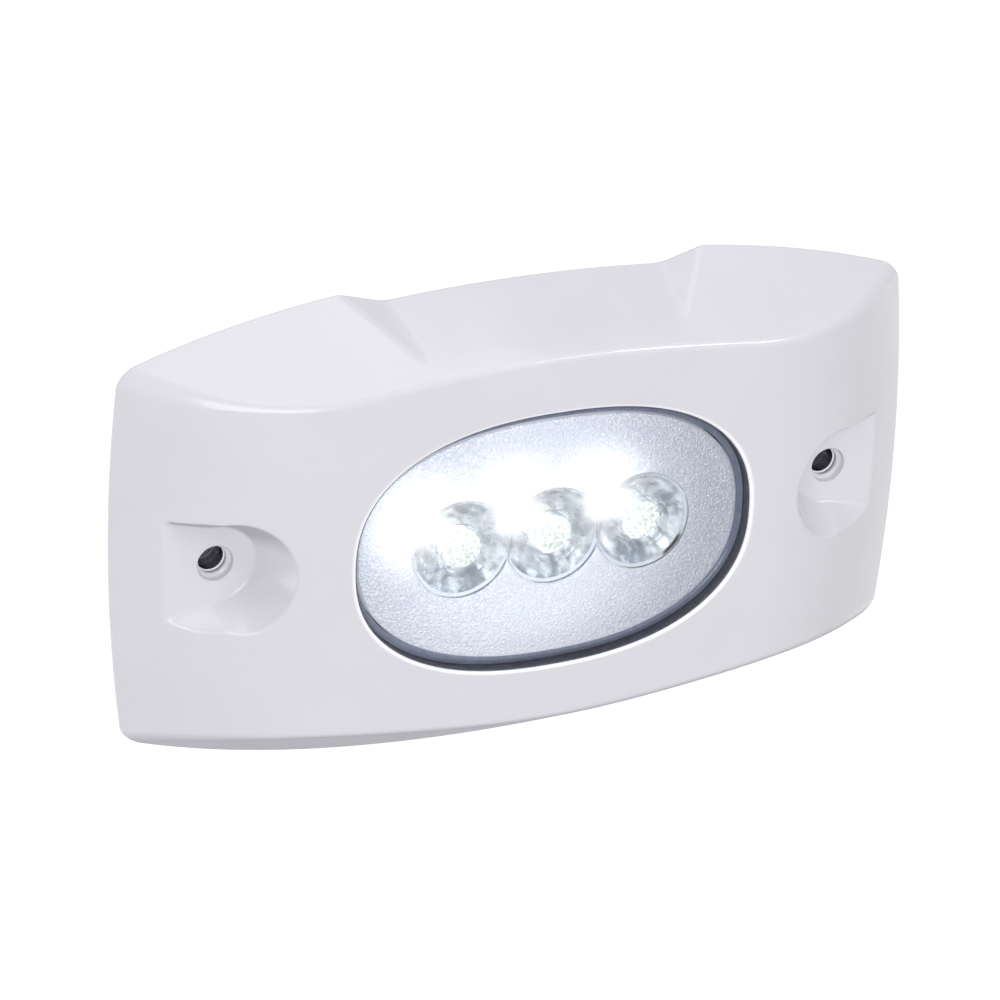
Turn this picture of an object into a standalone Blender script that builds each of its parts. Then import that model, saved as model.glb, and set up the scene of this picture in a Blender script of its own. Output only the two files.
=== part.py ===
"""Surface-mounted underwater pool light: a white moulded cover over a sealed three-LED capsule.

The wall is the plane y = 0, the light faces -Y, +X is right and +Z is up.
Lengths are in millimetres and become metres (MM) as each mesh is made. A depth is measured
out of the wall, so a point at depth d has y = -d, and a negative depth lies inside the wall.
"""
import math

import bmesh
import bpy

MM = 0.001
GAP = 0.3                     # air left between pieces that touch on the real light

# ---- Cover, outside ----------------------------------------------------------------------
HALF_WIDTH = 90.0             # at mid height, on the wall
SIDE_BOW = 2.76               # how far the sides curve in at their ends
HALF_HEIGHT = 54.15           # at mid width, on the wall
TOP_BOW_2 = 10.2              # top edge falls by these at the full half width (x^2 and x^4)
TOP_BOW_4 = 2.86
BOW_X = 87.8
BOW_Z = 43.9
RIM_BACK = 0.3                # the rim stands this far off the wall, the bosses touch it
RIM_FRONT = 0.7
CENTRE_DEPTH = 22.45
CROWN_RADIUS = 1600.0         # the front face is a very shallow cylinder
SIDE_SLOPE = 0.88             # depth gained per mm in from the side edge
TOP_SLOPE = 1.53              # the same for the top and bottom edges, away from mid width
TOP_SLOPE_MID = 0.13          # extra steepness at mid width
TOP_SLOPE_SPREAD = 28.0
SHOULDER_BLEND = 18.0         # depth over which front and side faces melt together
RIDGE_BLEND = 2.2             # the same for front and top faces
WALL = 2.4
CORNER_AT = (86.5, 41.0)      # where the bowed sides and edges meet
BEYOND_FRONT = 30.0           # cutters end clear of the cover, in front of it and behind it
BEYOND_BACK = -2.0

# ---- Finger scoop in the top edge --------------------------------------------------------
SCOOP_FLOOR_HALF = 31.0       # half length of the floor on the wall plane
SCOOP_MOUTH_HALF = 40.0       # half length between the outer ends of the end facets
SCOOP_TIP = (28.7, 42.3, 17.2)    # where floor, facet and top face meet: x, z, depth
SCOOP_INSET = 3.45            # floor edge behind the cover's own edge, on the wall plane
SCOOP_LEAN = 1.12             # a wall of the sloping floor measured level, over its thickness
SCOOP_OPEN = (8.0, 70.0)      # the cutter flares by this past the mouth, and ends at this z

# ---- Window and screw pockets ------------------------------------------------------------
WINDOW = (44.4, 28.9)         # half sizes of the oval opening
OVAL_POWER = 2.35
OVAL_POINTS = 48
FIXING_X = 69.7               # fixing holes left and right of the middle
POCKET_FLOOR = 8.3
POCKET_RADIUS = 8.4
POCKET_FLARE = 0.245          # floor widens towards the end of the cover
POCKET_DRAFT = (0.45, 0.66)   # lean of the wall above the hole and below it
POCKET_ROUND_DRAFT = 0.42     # the same round the pocket's inner end
POCKET_DRAFT_POWER = 4        # how quickly one lean turns into the other
POCKET_END_X = 96.0
POCKET_ARC_STEPS = 12
FIXING_BOSS_RADIUS = 7.0
FIXING_FOOT_RADIUS = 6.8      # the foot that rests on the wall
FIXING_STEPS = 28
COUNTERBORE = (3.86, 6.4)     # radius, depth of its ledge
LEDGE = (3.05, 5.3)
SLEEVE = (3.9, 2.95, 5.0, -4.0)    # outer radius, inner radius, front end, end in the wall

# ---- Capsule stack, depths from back to front --------------------------------------------
TUB = (45.0, 29.4)            # half sizes, outside
TUB_WALL = 2.0
TUB_BACK = 1.2
TUB_FLOOR = 3.4
FLANGE = (52.0, 36.4)
FLANGE_DEPTHS = (11.0, 13.0)
SEAL_DEPTHS = (13.3, 14.3)
LENS_FLANGE_DEPTHS = (14.6, 16.4)
CLAMP_DEPTHS = (16.7, 17.7)
GASKET_FOOT = (18.0, 18.7)
BOARD = (42.6, 26.9)
SPREADER_DEPTHS = (3.7, 5.2)
PAD_DEPTHS = (5.5, 6.1)
BOARD_DEPTHS = (6.4, 8.0)
ON_BOARD = BOARD_DEPTHS[1] + GAP

LENS_INSET = 1.2              # lens oval inside the window oval
LENS_CENTRE = 21.9            # front of the lens at the middle
LENS_CROWN = 0.5              # it falls by this at the ends
LENS_WALL = 0.8
LENS_FACE = 1.6
MASK_INSET = 2.3
MASK_CENTRE = 19.3
MASK_CROWN = 1.5
MASK_FACE = 1.2
MASK_SKIRT = 1.0

OPTIC_PITCH = 20.25
OPTIC_RADIUS = 10.78
OPTIC_FRONT = 19.7
OPTIC_NAMES = ("left", "centre", "right")
OPTIC_OUTSIDE = [(OPTIC_RADIUS, OPTIC_FRONT - 0.2), (OPTIC_RADIUS, OPTIC_FRONT - 1.4),
                 (9.9, OPTIC_FRONT - 1.6), (9.0, 15.4), (7.3, 12.2), (5.2, 9.6), (4.6, 8.9)]
OPTIC_CUP = [(3.2, 8.9), (2.9, 11.9), (1.6, 12.7), (0, 13.0)]      # over the LED
OPTIC_DISH = [(0, OPTIC_FRONT - 1.2), (3.9, OPTIC_FRONT - 1.5), (4.3, OPTIC_FRONT)]
HOLDER = (30.5, 10.4)         # half sizes
HOLDER_FRONT = 11.4
LED_BASE = (3.45, 0.8)        # width, height
LED_DOME = [(0, 1.3), (0.7, 1.1), (1.15, 0.6), (1.3, 0.0), (0, 0.0)]    # radius, height

# ---- On the board: places are (x, z), sizes are (x, z) and height -------------------------
INDUCTOR_AT = (-32.0, 11.0)
INDUCTOR = [(0, 4.2), (3.4, 4.2), (3.4, 3.4), (2.4, 3.2), (2.4, 1.0), (3.4, 0.8), (3.4, 0),
            (0, 0)]
CAPACITORS_AT = ((32.0, 11.0), (-14.0, 17.5))
CAPACITOR = [(0, 6.0), (2.2, 6.0), (2.5, 5.7), (2.5, 1.3), (2.3, 1.1), (2.5, 0.9), (2.5, 0),
             (0, 0)]
RECTIFIER = ((-32.0, -11.0), (5.0, 4.2), 2.2)
DRIVER_CHIP = ((32.0, -11.0), (5.2, 4.4), 1.6)
RESISTORS_AT = ((11.0, 16.5), (15.5, 16.5), (20.0, 16.5))
RESISTOR = ((1.7, 3.2), 0.7)

# ---- Fasteners ---------------------------------------------------------------------------
CAPSULE_SCREWS = 8
CAPSULE_SCREW_OVAL = (48.7, 33.0)
M3_SHAFT = 1.5
M3_HOLE = 1.8
COVER_SCREW_AT = (33.0, 35.2)
COVER_BOSS_RADIUS = 3.1
PILOT_END = 18.0              # blind end of the holes that the cover screws bite in
PAN_HEAD = (2.7, 2.0)         # radius, height
SCREW_STEPS = 8
BOARD_SCREW_END = 2.3
LUG_RADIUS = 3.8
BOARD_SCREW_X = 36.0

# ---- Cable entry in the wall -------------------------------------------------------------
SPIGOT = (9.8, 8.0, -14.0)    # outer radius, bore radius, rear end
LEAD_X = 2.2
LEAD_BOARD_Z = -15.5
LEAD_BORE_Z = -4.5
LEAD_RADIUS = 0.75
NUT_FLAT = 12.0               # half the size across flats
NUT_DEPTHS = (-17.5, -7.0)
NUT_END_WALL = 2.1
NUT_HOLE = 4.3
O_RING = (11.3, 1.2, -3.0)    # ring radius, cord radius, depth
BUNG_DEPTHS = (-6.0, -1.4)
CABLE_BORE = 3.6
SEAL_SHOULDER = (6.4, -9.6, -10.8)    # radius of its front, depths where the cone starts and ends
SEAL_BACK = -13.5
THRUST_RING = (3.9, 7.6, -15.1, -13.8)    # radii, depths
ROUND_STEPS = 28


# ---- Scene -------------------------------------------------------------------------------
for old in list(bpy.data.objects):
    bpy.data.objects.remove(old, do_unlink=True)

parts = bpy.data.collections.new("underwater_pool_light")
tools = bpy.data.collections.new("cutters")
for collection in (parts, tools):
    bpy.context.scene.collection.children.link(collection)


def material(name, colour, roughness, metallic=0.0, alpha=1.0):
    made = bpy.data.materials.new(name)
    made.use_nodes = True
    shader = made.node_tree.nodes["Principled BSDF"]
    shader.inputs["Base Color"].default_value = (*colour, 1.0)
    shader.inputs["Roughness"].default_value = roughness
    shader.inputs["Metallic"].default_value = metallic
    shader.inputs["Alpha"].default_value = alpha
    made.diffuse_color = (*colour, alpha)
    return made


WHITE_ASA = material("white_asa", (0.80, 0.80, 0.84), 0.22)
CLEAR_PC = material("clear_polycarbonate", (0.92, 0.95, 0.98), 0.04, alpha=0.3)
CLEAR_ACRYLIC = material("clear_acrylic", (0.90, 0.94, 0.98), 0.05, alpha=0.4)
DARK_RUBBER = material("dark_rubber", (0.05, 0.055, 0.065), 0.6)
SILVER_MASK = material("silver_texture", (0.62, 0.66, 0.72), 0.4, 0.8)
STAINLESS = material("stainless_steel", (0.60, 0.60, 0.58), 0.28, 1.0)
ALUMINIUM = material("aluminium", (0.72, 0.72, 0.72), 0.4, 1.0)
BLACK_PLASTIC = material("black_plastic", (0.03, 0.03, 0.035), 0.45)
WHITE_HOLDER = material("white_holder", (0.85, 0.85, 0.85), 0.4)
BOARD_WHITE = material("white_solder_mask", (0.86, 0.87, 0.86), 0.35)
PAD_GREY = material("thermal_silicone", (0.42, 0.47, 0.55), 0.8)
LED_YELLOW = material("led_phosphor", (0.95, 0.86, 0.45), 0.3)
LED_CERAMIC = material("led_ceramic", (0.88, 0.88, 0.85), 0.5)
BRASS_COPPER = material("copper_winding", (0.72, 0.38, 0.20), 0.35, 1.0)
LEAD_RED = material("red_insulation", (0.55, 0.05, 0.05), 0.45)
LEAD_BLACK = material("black_insulation", (0.04, 0.04, 0.04), 0.45)


# ---- Modelling helpers -------------------------------------------------------------------
def finish(obj, paint):
    """Puts an object among the parts with its material, or among the cutters with none."""
    (parts if paint else tools).objects.link(obj)
    if paint:
        obj.data.materials.clear()
        obj.data.materials.append(paint)
        return obj
    obj.hide_render = True
    obj.display_type = "WIRE"
    return obj


def mesh_object(name, work, paint, smooth=True):
    bmesh.ops.recalc_face_normals(work, faces=work.faces)
    mesh = bpy.data.meshes.new(name)
    work.to_mesh(mesh)
    work.free()
    if smooth:
        mesh.shade_smooth()
        mesh.set_sharp_from_angle(angle=math.radians(35))
    return finish(bpy.data.objects.new(name, mesh), paint)


def place(x, z, depth):
    return (x * MM, -depth * MM, z * MM)


def loft(name, rings, paint=None, closed=False):
    """Skins rings of (x, z, depth) points. An open loft gets a flat face at each end."""
    work = bmesh.new()
    rows = [[work.verts.new(place(*point)) for point in ring] for ring in rings]
    pairs = list(zip(rows, rows[1:]))
    if closed:
        pairs.append((rows[-1], rows[0]))
    count = len(rows[0])
    for low, high in pairs:
        for i in range(count):
            j = (i + 1) % count
            work.faces.new((low[i], low[j], high[j], high[i]))
    if not closed:
        work.faces.new(rows[0])
        work.faces.new(rows[-1])
    return mesh_object(name, work, paint)


def plate(name, outlines, depths, paint=None):
    """A flat sheet between two depths: the first outline is its edge, the rest are holes."""
    curve = bpy.data.curves.new(name, "CURVE")
    curve.dimensions = "2D"
    curve.fill_mode = "BOTH"
    curve.extrude = (depths[1] - depths[0]) / 2 * MM
    for outline in outlines:
        spline = curve.splines.new("POLY")
        spline.points.add(len(outline) - 1)
        for point, (x, z) in zip(spline.points, outline):
            point.co = (x * MM, z * MM, 0.0, 1.0)
        spline.use_cyclic_u = True
    flat = bpy.data.objects.new(name + "_outline", curve)
    bpy.context.scene.collection.objects.link(flat)
    flat.rotation_euler = (math.pi / 2, 0.0, 0.0)
    flat.location = (0.0, -sum(depths) / 2 * MM, 0.0)
    bpy.context.view_layer.update()
    graph = bpy.context.evaluated_depsgraph_get()
    mesh = bpy.data.meshes.new_from_object(flat.evaluated_get(graph))
    mesh.transform(flat.matrix_world)
    bpy.data.objects.remove(flat, do_unlink=True)
    work = bmesh.new()
    work.from_mesh(mesh)
    bpy.data.meshes.remove(mesh)
    bmesh.ops.remove_doubles(work, verts=work.verts, dist=0.00001)
    return mesh_object(name, work, paint, smooth=False)


def turned(name, profile, paint=None, at=(0.0, 0.0), steps=24, tube=False):
    """Turns a profile of (radius, depth) about an axis along Y through at = (x, z).

    The profile runs down the outer side, from the front to the back."""
    mesh = bpy.data.meshes.new(name)
    edges = [(i, i + 1) for i in range(len(profile) - 1)]
    if tube:
        edges.append((len(profile) - 1, 0))
    mesh.from_pydata([(r * MM, -d * MM, 0.0) for r, d in profile], edges, [])
    obj = finish(bpy.data.objects.new(name, mesh), paint)
    obj.location = (at[0] * MM, 0.0, at[1] * MM)
    screw = obj.modifiers.new("turn", "SCREW")
    screw.axis = "Y"
    screw.use_normal_flip = True
    screw.steps = steps
    screw.render_steps = steps
    screw.use_merge_vertices = True
    screw.merge_threshold = 0.00001
    return obj


def block(name, centre, size, depths, paint=None, bevel=0.0):
    """A box of size (x, z) about centre (x, z) between two depths."""
    work = bmesh.new()
    bmesh.ops.create_cube(work, size=1.0)
    sizes = (size[0] * MM, (depths[1] - depths[0]) * MM, size[1] * MM)
    bmesh.ops.scale(work, vec=sizes, verts=work.verts)
    middle = place(centre[0], centre[1], sum(depths) / 2)
    bmesh.ops.translate(work, vec=middle, verts=work.verts)
    obj = mesh_object(name, work, paint, smooth=False)
    if bevel:
        edge = obj.modifiers.new("edges", "BEVEL")
        edge.width = bevel * MM
        edge.segments = 1
    return obj


def cut(obj, *cutters, operation="DIFFERENCE"):
    for cutter in cutters:
        step = obj.modifiers.new(cutter.name, "BOOLEAN")
        step.operation = operation
        step.object = cutter
    return obj


def cylinders(name, centres, radius, depths, steps=10, paint=None):
    """Several parallel cylinders in one object."""
    work = bmesh.new()
    for x, z in centres:
        made = bmesh.ops.create_cone(work, cap_ends=True, segments=steps, radius1=radius * MM,
                                     radius2=radius * MM, depth=(depths[1] - depths[0]) * MM)
        for vertex in made["verts"]:
            across, along, deep = vertex.co
            middle = place(x, z, sum(depths) / 2)
            vertex.co = (middle[0] + across, middle[1] - deep, middle[2] + along)
    return mesh_object(name, work, paint)


def circle(x, z, radius, steps=10):
    turn = 2 * math.pi / steps
    return [(x + radius * math.cos(i * turn), z + radius * math.sin(i * turn))
            for i in range(steps)]


def stadium(start, end, radius, steps=8):
    """A slot-shaped outline about the line between two centres."""
    along = math.atan2(end[1] - start[1], end[0] - start[0])
    outline = []
    for centre, turn in ((start, along + math.pi / 2), (end, along - math.pi / 2)):
        for i in range(steps + 1):
            angle = turn + math.pi * i / steps
            outline.append((centre[0] + radius * math.cos(angle),
                            centre[1] + radius * math.sin(angle)))
    return outline


def oval_point(half, angle):
    power = 2 / OVAL_POWER
    x = half[0] * math.copysign(abs(math.cos(angle)) ** power, math.cos(angle))
    z = half[1] * math.copysign(abs(math.sin(angle)) ** power, math.sin(angle))
    return x, z


def oval(half, inset=0.0, scale=1.0):
    """The rounded oval that the window and every capsule piece share."""
    size = ((half[0] - inset) * scale, (half[1] - inset) * scale)
    turn = 2 * math.pi / OVAL_POINTS
    return [oval_point(size, (i + 0.5) * turn) for i in range(OVAL_POINTS)]


def at_depth(outline, depth):
    """Lifts a flat outline to a depth, which may be a number or a function of x."""
    if callable(depth):
        return [(x, z, depth(x)) for x, z in outline]
    return [(x, z, depth) for x, z in outline]


# ---- Cover form --------------------------------------------------------------------------
def soft_min(a, b, blend):
    overlap = max(blend - abs(a - b), 0.0)
    return min(a, b) - overlap * overlap / (4 * blend)


def half_width(z):
    return HALF_WIDTH - SIDE_BOW * (z / BOW_Z) ** 2


def half_height(x):
    ratio = (x / BOW_X) ** 2
    return HALF_HEIGHT - TOP_BOW_2 * ratio - TOP_BOW_4 * ratio * ratio


def faces_at(x, z, wall):
    """Depths of the front, side and top faces above a point of the wall, less a wall."""
    slope = TOP_SLOPE + TOP_SLOPE_MID * math.exp(-(x / TOP_SLOPE_SPREAD) ** 2)
    front = CENTRE_DEPTH - x * x / (2 * CROWN_RADIUS) - wall
    side = RIM_FRONT + SIDE_SLOPE * (half_width(z) - abs(x)) - wall * math.hypot(1, SIDE_SLOPE)
    top = RIM_FRONT + slope * (half_height(x) - abs(z)) - wall * math.hypot(1, slope)
    return front, side, top


def cover_depth(x, z, wall=0.0):
    front, side, top = faces_at(x, z, wall)
    return soft_min(soft_min(front, side, SHOULDER_BLEND), top, RIDGE_BLEND)


def bisect(falls, low, high):
    """The place where a falling function crosses zero."""
    for _ in range(40):
        middle = (low + high) / 2
        if falls(middle) > 0:
            low = middle
        else:
            high = middle
    return low


def cover_directions(side_rays, top_rays):
    """Angles of the rays that the cover is lofted on, closest at the corners."""
    corner = math.atan2(CORNER_AT[1], CORNER_AT[0])
    side = [corner * (i / side_rays) ** 0.85 for i in range(side_rays)]
    near_corner = [corner + step for step in (-0.02, 0.0, 0.02, 0.045)]
    first = corner + 0.08
    top = [first + (math.pi / 2 - first) * (i / top_rays) ** 1.1 for i in range(top_rays + 1)]
    quarter = sorted(side + near_corner + top)
    half = quarter + [math.pi - angle for angle in reversed(quarter[:-1])]
    return half + [angle + math.pi for angle in half[1:-1]]


def cover_solid(name, wall, back, level, paint=None):
    """The cover's outer form as a full solid, shrunk by a wall thickness and down to back."""
    inner = (0.35, 0.80, 0.96) if wall else (0.35, 0.66, 0.80, 0.90, 0.96)
    outer = (0.0, 0.15, 0.45, 1.0) if wall else (0.0, 0.08, 0.22, 0.42, 0.66, 0.86, 1.0)
    rays = []
    for angle in cover_directions(*((4, 7) if wall else (7, 11))):
        across, up = math.cos(angle), math.sin(angle)

        def past_ridge(r):
            front, side, top = faces_at(r * across, r * up, wall)
            return min(side, top) - front

        def past_edge(r):
            return cover_depth(r * across, r * up, wall) - level

        ridge = bisect(past_ridge, 10.0, 110.0)
        edge = bisect(past_edge, 10.0, 110.0)
        radii = [ridge * part for part in inner]
        radii += [ridge + (edge - ridge) * part for part in outer]
        rays.append([(r * across, r * up, cover_depth(r * across, r * up, wall))
                     for r in radii])
    rings = [list(ring) for ring in zip(*rays)]
    rings.append([(x, z, back) for x, z, _ in rings[-1]])
    return loft(name, rings, paint)


def pocket_solid(name, side, wall):
    """A tapered screw pocket, open towards the end of the cover; side is -1 or 1."""
    upper, lower = POCKET_DRAFT
    end_half = POCKET_RADIUS + wall + POCKET_FLARE * (POCKET_END_X - FIXING_X)
    rings = []
    for depth in (POCKET_FLOOR - wall, BEYOND_FRONT):
        rise = depth - POCKET_FLOOR + wall
        outline = [(POCKET_END_X, end_half + upper * rise)]
        for i in range(POCKET_ARC_STEPS + 1):
            angle = math.pi / 2 + math.pi * i / POCKET_ARC_STEPS
            straight = lower if math.sin(angle) < 0 else upper
            share = abs(math.sin(angle)) ** POCKET_DRAFT_POWER
            draft = POCKET_ROUND_DRAFT + (straight - POCKET_ROUND_DRAFT) * share
            radius = POCKET_RADIUS + wall + draft * rise
            outline.append((FIXING_X + radius * math.cos(angle), radius * math.sin(angle)))
        outline.append((POCKET_END_X, -end_half - lower * rise))
        rings.append([(side * x, z, depth) for x, z in outline])
    return loft(name, rings)


def scoop_solid(name, wall):
    """The space taken out of the top edge. With a wall it is the scoop's own body instead."""
    tip_x, tip_z, tip_depth = SCOOP_TIP
    lower = wall * SCOOP_LEAN
    flare, top_z = SCOOP_OPEN
    rings = []
    for depth in (BEYOND_BACK, tip_depth + (4.0 if wall else 0.0)):
        rise = depth / tip_depth
        floor_half = SCOOP_FLOOR_HALF + (tip_x - SCOOP_FLOOR_HALF) * rise + lower
        mouth_half = SCOOP_MOUTH_HALF + (tip_x - SCOOP_MOUTH_HALF) * rise + lower
        mouth_half = max(mouth_half, floor_half + 0.01)
        edge_z = half_height(SCOOP_MOUTH_HALF)
        mouth_z = edge_z + (tip_z - edge_z) * rise - lower / 2
        outline = [(mouth_half, mouth_z)]
        for i in range(9):
            x = floor_half * (1 - i / 4)
            wall_z = half_height(x) - SCOOP_INSET
            outline.append((x, wall_z + (tip_z - half_height(tip_x) + SCOOP_INSET) * rise
                            - lower))
        outline.append((-mouth_half, mouth_z))
        outline += [(-mouth_half - flare, top_z), (mouth_half + flare, top_z)]
        rings.append([(x, z, depth) for x, z in outline])
    return loft(name, rings)


def cover_screw_places():
    x, z = COVER_SCREW_AT
    return [(-x, z), (x, z), (-x, -z), (x, -z)]


def front_cover():
    cover = cover_solid("front_cover", 0.0, RIM_BACK, RIM_FRONT, WHITE_ASA)
    hollow = cover_solid("cover_hollow", WALL, BEYOND_BACK, RIM_BACK)
    sides = ((-1, "left"), (1, "right"))
    for side, word in sides:
        cut(hollow, pocket_solid(f"pocket_wall_{word}", side, WALL))
        cut(hollow, cylinders(f"fixing_boss_{word}", [(side * FIXING_X, 0)],
                              FIXING_BOSS_RADIUS, (-4.0, 20.0), FIXING_STEPS))
    cut(hollow, scoop_solid("scoop_wall", WALL))
    cut(hollow, cylinders("cover_bosses", cover_screw_places(), COVER_BOSS_RADIUS,
                          (FLANGE_DEPTHS[1] + GAP, BEYOND_FRONT)))
    cut(cover, hollow)
    cut(cover, plate("window_cutter", [oval(WINDOW)], (12.0, BEYOND_FRONT)))
    cut(cover, scoop_solid("scoop_cutter", 0.0))
    for side, word in sides:
        cut(cover, pocket_solid(f"pocket_{word}", side, 0.0))
    cut(cover, cylinders("pilot_holes", cover_screw_places(), M3_HOLE, (12.0, PILOT_END)))
    for side, word in sides:
        hole = [(0, 12), (COUNTERBORE[0], 12), COUNTERBORE, (LEDGE[0], COUNTERBORE[1]), LEDGE,
                (SLEEVE[0] + GAP, LEDGE[1]), (SLEEVE[0] + GAP, -1), (0, -1)]
        at = (side * FIXING_X, 0)
        cut(cover, cylinders(f"fixing_foot_{word}", [at], FIXING_FOOT_RADIUS, (0.0, 1.0),
                             FIXING_STEPS), operation="UNION")
        cut(cover, turned(f"fixing_hole_{word}", hole, at=at))


# ---- Capsule -----------------------------------------------------------------------------
def lens_front(x):
    return LENS_CENTRE - LENS_CROWN * (x / WINDOW[0]) ** 2


def mask_front(x):
    return MASK_CENTRE - MASK_CROWN * (x / 40.0) ** 2


def capsule_screw_places():
    turn = 2 * math.pi / CAPSULE_SCREWS
    return [oval_point(CAPSULE_SCREW_OVAL, (i + 0.5) * turn) for i in range(CAPSULE_SCREWS)]


def screw_holes():
    return [circle(x, z, M3_HOLE) for x, z in capsule_screw_places()]


def crowned(outline_half, inset, front, fall):
    """Rings of a crowned front from its edge inwards, lowered by fall."""
    return [at_depth(oval(outline_half, inset, scale), lambda x: front(x) - fall)
            for scale in (1.0, 0.8, 0.55, 0.3)]


def lens():
    low, high = LENS_FLANGE_DEPTHS
    rings = [at_depth(oval(FLANGE), low), at_depth(oval(FLANGE), high),
             at_depth(oval(WINDOW, LENS_INSET), high),
             at_depth(oval(WINDOW, LENS_INSET), lambda x: lens_front(x) - 0.4)]
    rings += crowned(WINDOW, LENS_INSET + 0.4, lens_front, 0.0)
    body = loft("lens", rings, CLEAR_PC)
    inside = [at_depth(oval(WINDOW, LENS_INSET + LENS_WALL), low - 2.0)]
    inside += crowned(WINDOW, LENS_INSET + LENS_WALL, lens_front, LENS_FACE)
    cut(body, loft("lens_hollow", inside))
    cut(body, cylinders("lens_screw_holes", capsule_screw_places(), M3_HOLE,
                        (low - 1.0, high + 1.0)))


def window_gasket():
    """An L-shaped ring: a thin lip round the lens and a foot trapped behind the cover."""
    inner, outer, foot = LENS_INSET - GAP, GAP, -3.0
    low, high = GASKET_FOOT
    rings = [at_depth(oval(WINDOW, inner), low), at_depth(oval(WINDOW, foot), low),
             at_depth(oval(WINDOW, foot), high), at_depth(oval(WINDOW, outer), high),
             at_depth(oval(WINDOW, outer), lambda x: lens_front(x) - 0.1),
             at_depth(oval(WINDOW, inner), lambda x: lens_front(x) - 0.1)]
    loft("window_gasket", rings, DARK_RUBBER, closed=True)


def optic_cutters(name, radius, depths):
    places = [(step * OPTIC_PITCH, 0.0) for step in (-1, 0, 1)]
    return [cylinders(f"{name}_{word}", [at], radius, depths, 30)
            for word, at in zip(OPTIC_NAMES, places)]


def reflector_mask():
    edge = oval(WINDOW, MASK_INSET)
    rings = [at_depth(edge, ON_BOARD), at_depth(edge, lambda x: mask_front(x) - 0.3)]
    rings += crowned(WINDOW, MASK_INSET + 0.3, mask_front, 0.0)
    mask = loft("reflector_mask", rings, SILVER_MASK)
    inside = [at_depth(oval(WINDOW, MASK_INSET + MASK_SKIRT), ON_BOARD - 2.0)]
    inside += crowned(WINDOW, MASK_INSET + MASK_SKIRT, mask_front, MASK_FACE)
    cut(mask, loft("mask_hollow", inside))
    cut(mask, *optic_cutters("mask_opening", OPTIC_RADIUS + GAP, (15.0, 24.0)))


def optics():
    """Total-internal-reflection collimators, flat on the sides where they meet."""
    profile = OPTIC_DISH + [(OPTIC_RADIUS - 0.2, OPTIC_FRONT)] + OPTIC_OUTSIDE + OPTIC_CUP
    half_gap = OPTIC_PITCH / 2 - GAP / 2
    for step, word in zip((-1, 0, 1), OPTIC_NAMES):
        middle = step * OPTIC_PITCH
        optic = turned(f"optic_{word}", profile, CLEAR_ACRYLIC, (middle, 0))
        for side in (-1, 1):
            if abs(step + side) > 1:
                continue
            flat = block(f"flat_{word}_{'l' if side < 0 else 'r'}",
                         (middle + side * (half_gap + 2.0), 0.0), (4.0, 24.0), (5.0, 24.0))
            cut(optic, flat)


def optic_holder():
    holder = plate("optic_holder", [oval(HOLDER)], (ON_BOARD, HOLDER_FRONT), WHITE_HOLDER)
    walls = [(radius + GAP, depth) for radius, depth in OPTIC_OUTSIDE[2:]]
    seat = [(0, BEYOND_FRONT), (walls[0][0], BEYOND_FRONT)] + walls[1:]
    seat += [(walls[-1][0], 5.0), (0, 5.0)]
    for step, word in zip((-1, 0, 1), OPTIC_NAMES):
        cut(holder, turned(f"optic_seat_{word}", seat, at=(step * OPTIC_PITCH, 0), steps=16))


def standing(profile, low):
    """A (radius, height) profile moved up to stand on a depth."""
    return [(radius, low + height) for radius, height in profile]


def leds():
    width, height = LED_BASE
    base = (ON_BOARD, ON_BOARD + height)
    dome = standing(LED_DOME, base[1] + GAP)
    for step, word in zip((-1, 0, 1), OPTIC_NAMES):
        middle = step * OPTIC_PITCH
        block(f"led_base_{word}", (middle, 0), (width, width), base, LED_CERAMIC, bevel=0.15)
        turned(f"led_dome_{word}", dome, LED_YELLOW, (middle, 0), steps=12)


def lead_slot():
    half, low, high = LEAD_X + 1.9, LEAD_BOARD_Z - 1.9, LEAD_BORE_Z + 1.9
    return [(-half, low), (half, low), (half, high), (-half, high)]


def board_stack():
    screws = [circle(side * BOARD_SCREW_X, 0, M3_HOLE) for side in (-1, 1)]
    leads = [circle(side * LEAD_X, LEAD_BOARD_Z, LEAD_RADIUS + GAP) for side in (-1, 1)]
    plate("led_board", [oval(BOARD)] + screws + leads, BOARD_DEPTHS, BOARD_WHITE)
    plate("thermal_pad", [oval(BOARD, 0.6), lead_slot()] + screws, PAD_DEPTHS, PAD_GREY)
    plate("heat_spreader", [oval(BOARD), lead_slot()] + screws, SPREADER_DEPTHS, ALUMINIUM)


def board_parts():
    low = ON_BOARD
    turned("inductor", standing(INDUCTOR, low), BRASS_COPPER, INDUCTOR_AT, steps=16)
    for number, at in enumerate(CAPACITORS_AT, start=1):
        turned(f"capacitor_{number}", standing(CAPACITOR, low), ALUMINIUM, at, steps=14)
    for name, (at, size, height), bevel in (("rectifier", RECTIFIER, 0.3),
                                            ("driver_chip", DRIVER_CHIP, 0.25)):
        block(name, at, size, (low, low + height), BLACK_PLASTIC, bevel)
    size, height = RESISTOR
    for number, at in enumerate(RESISTORS_AT, start=1):
        block(f"resistor_{number}", at, size, (low, low + height), BLACK_PLASTIC)


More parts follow.
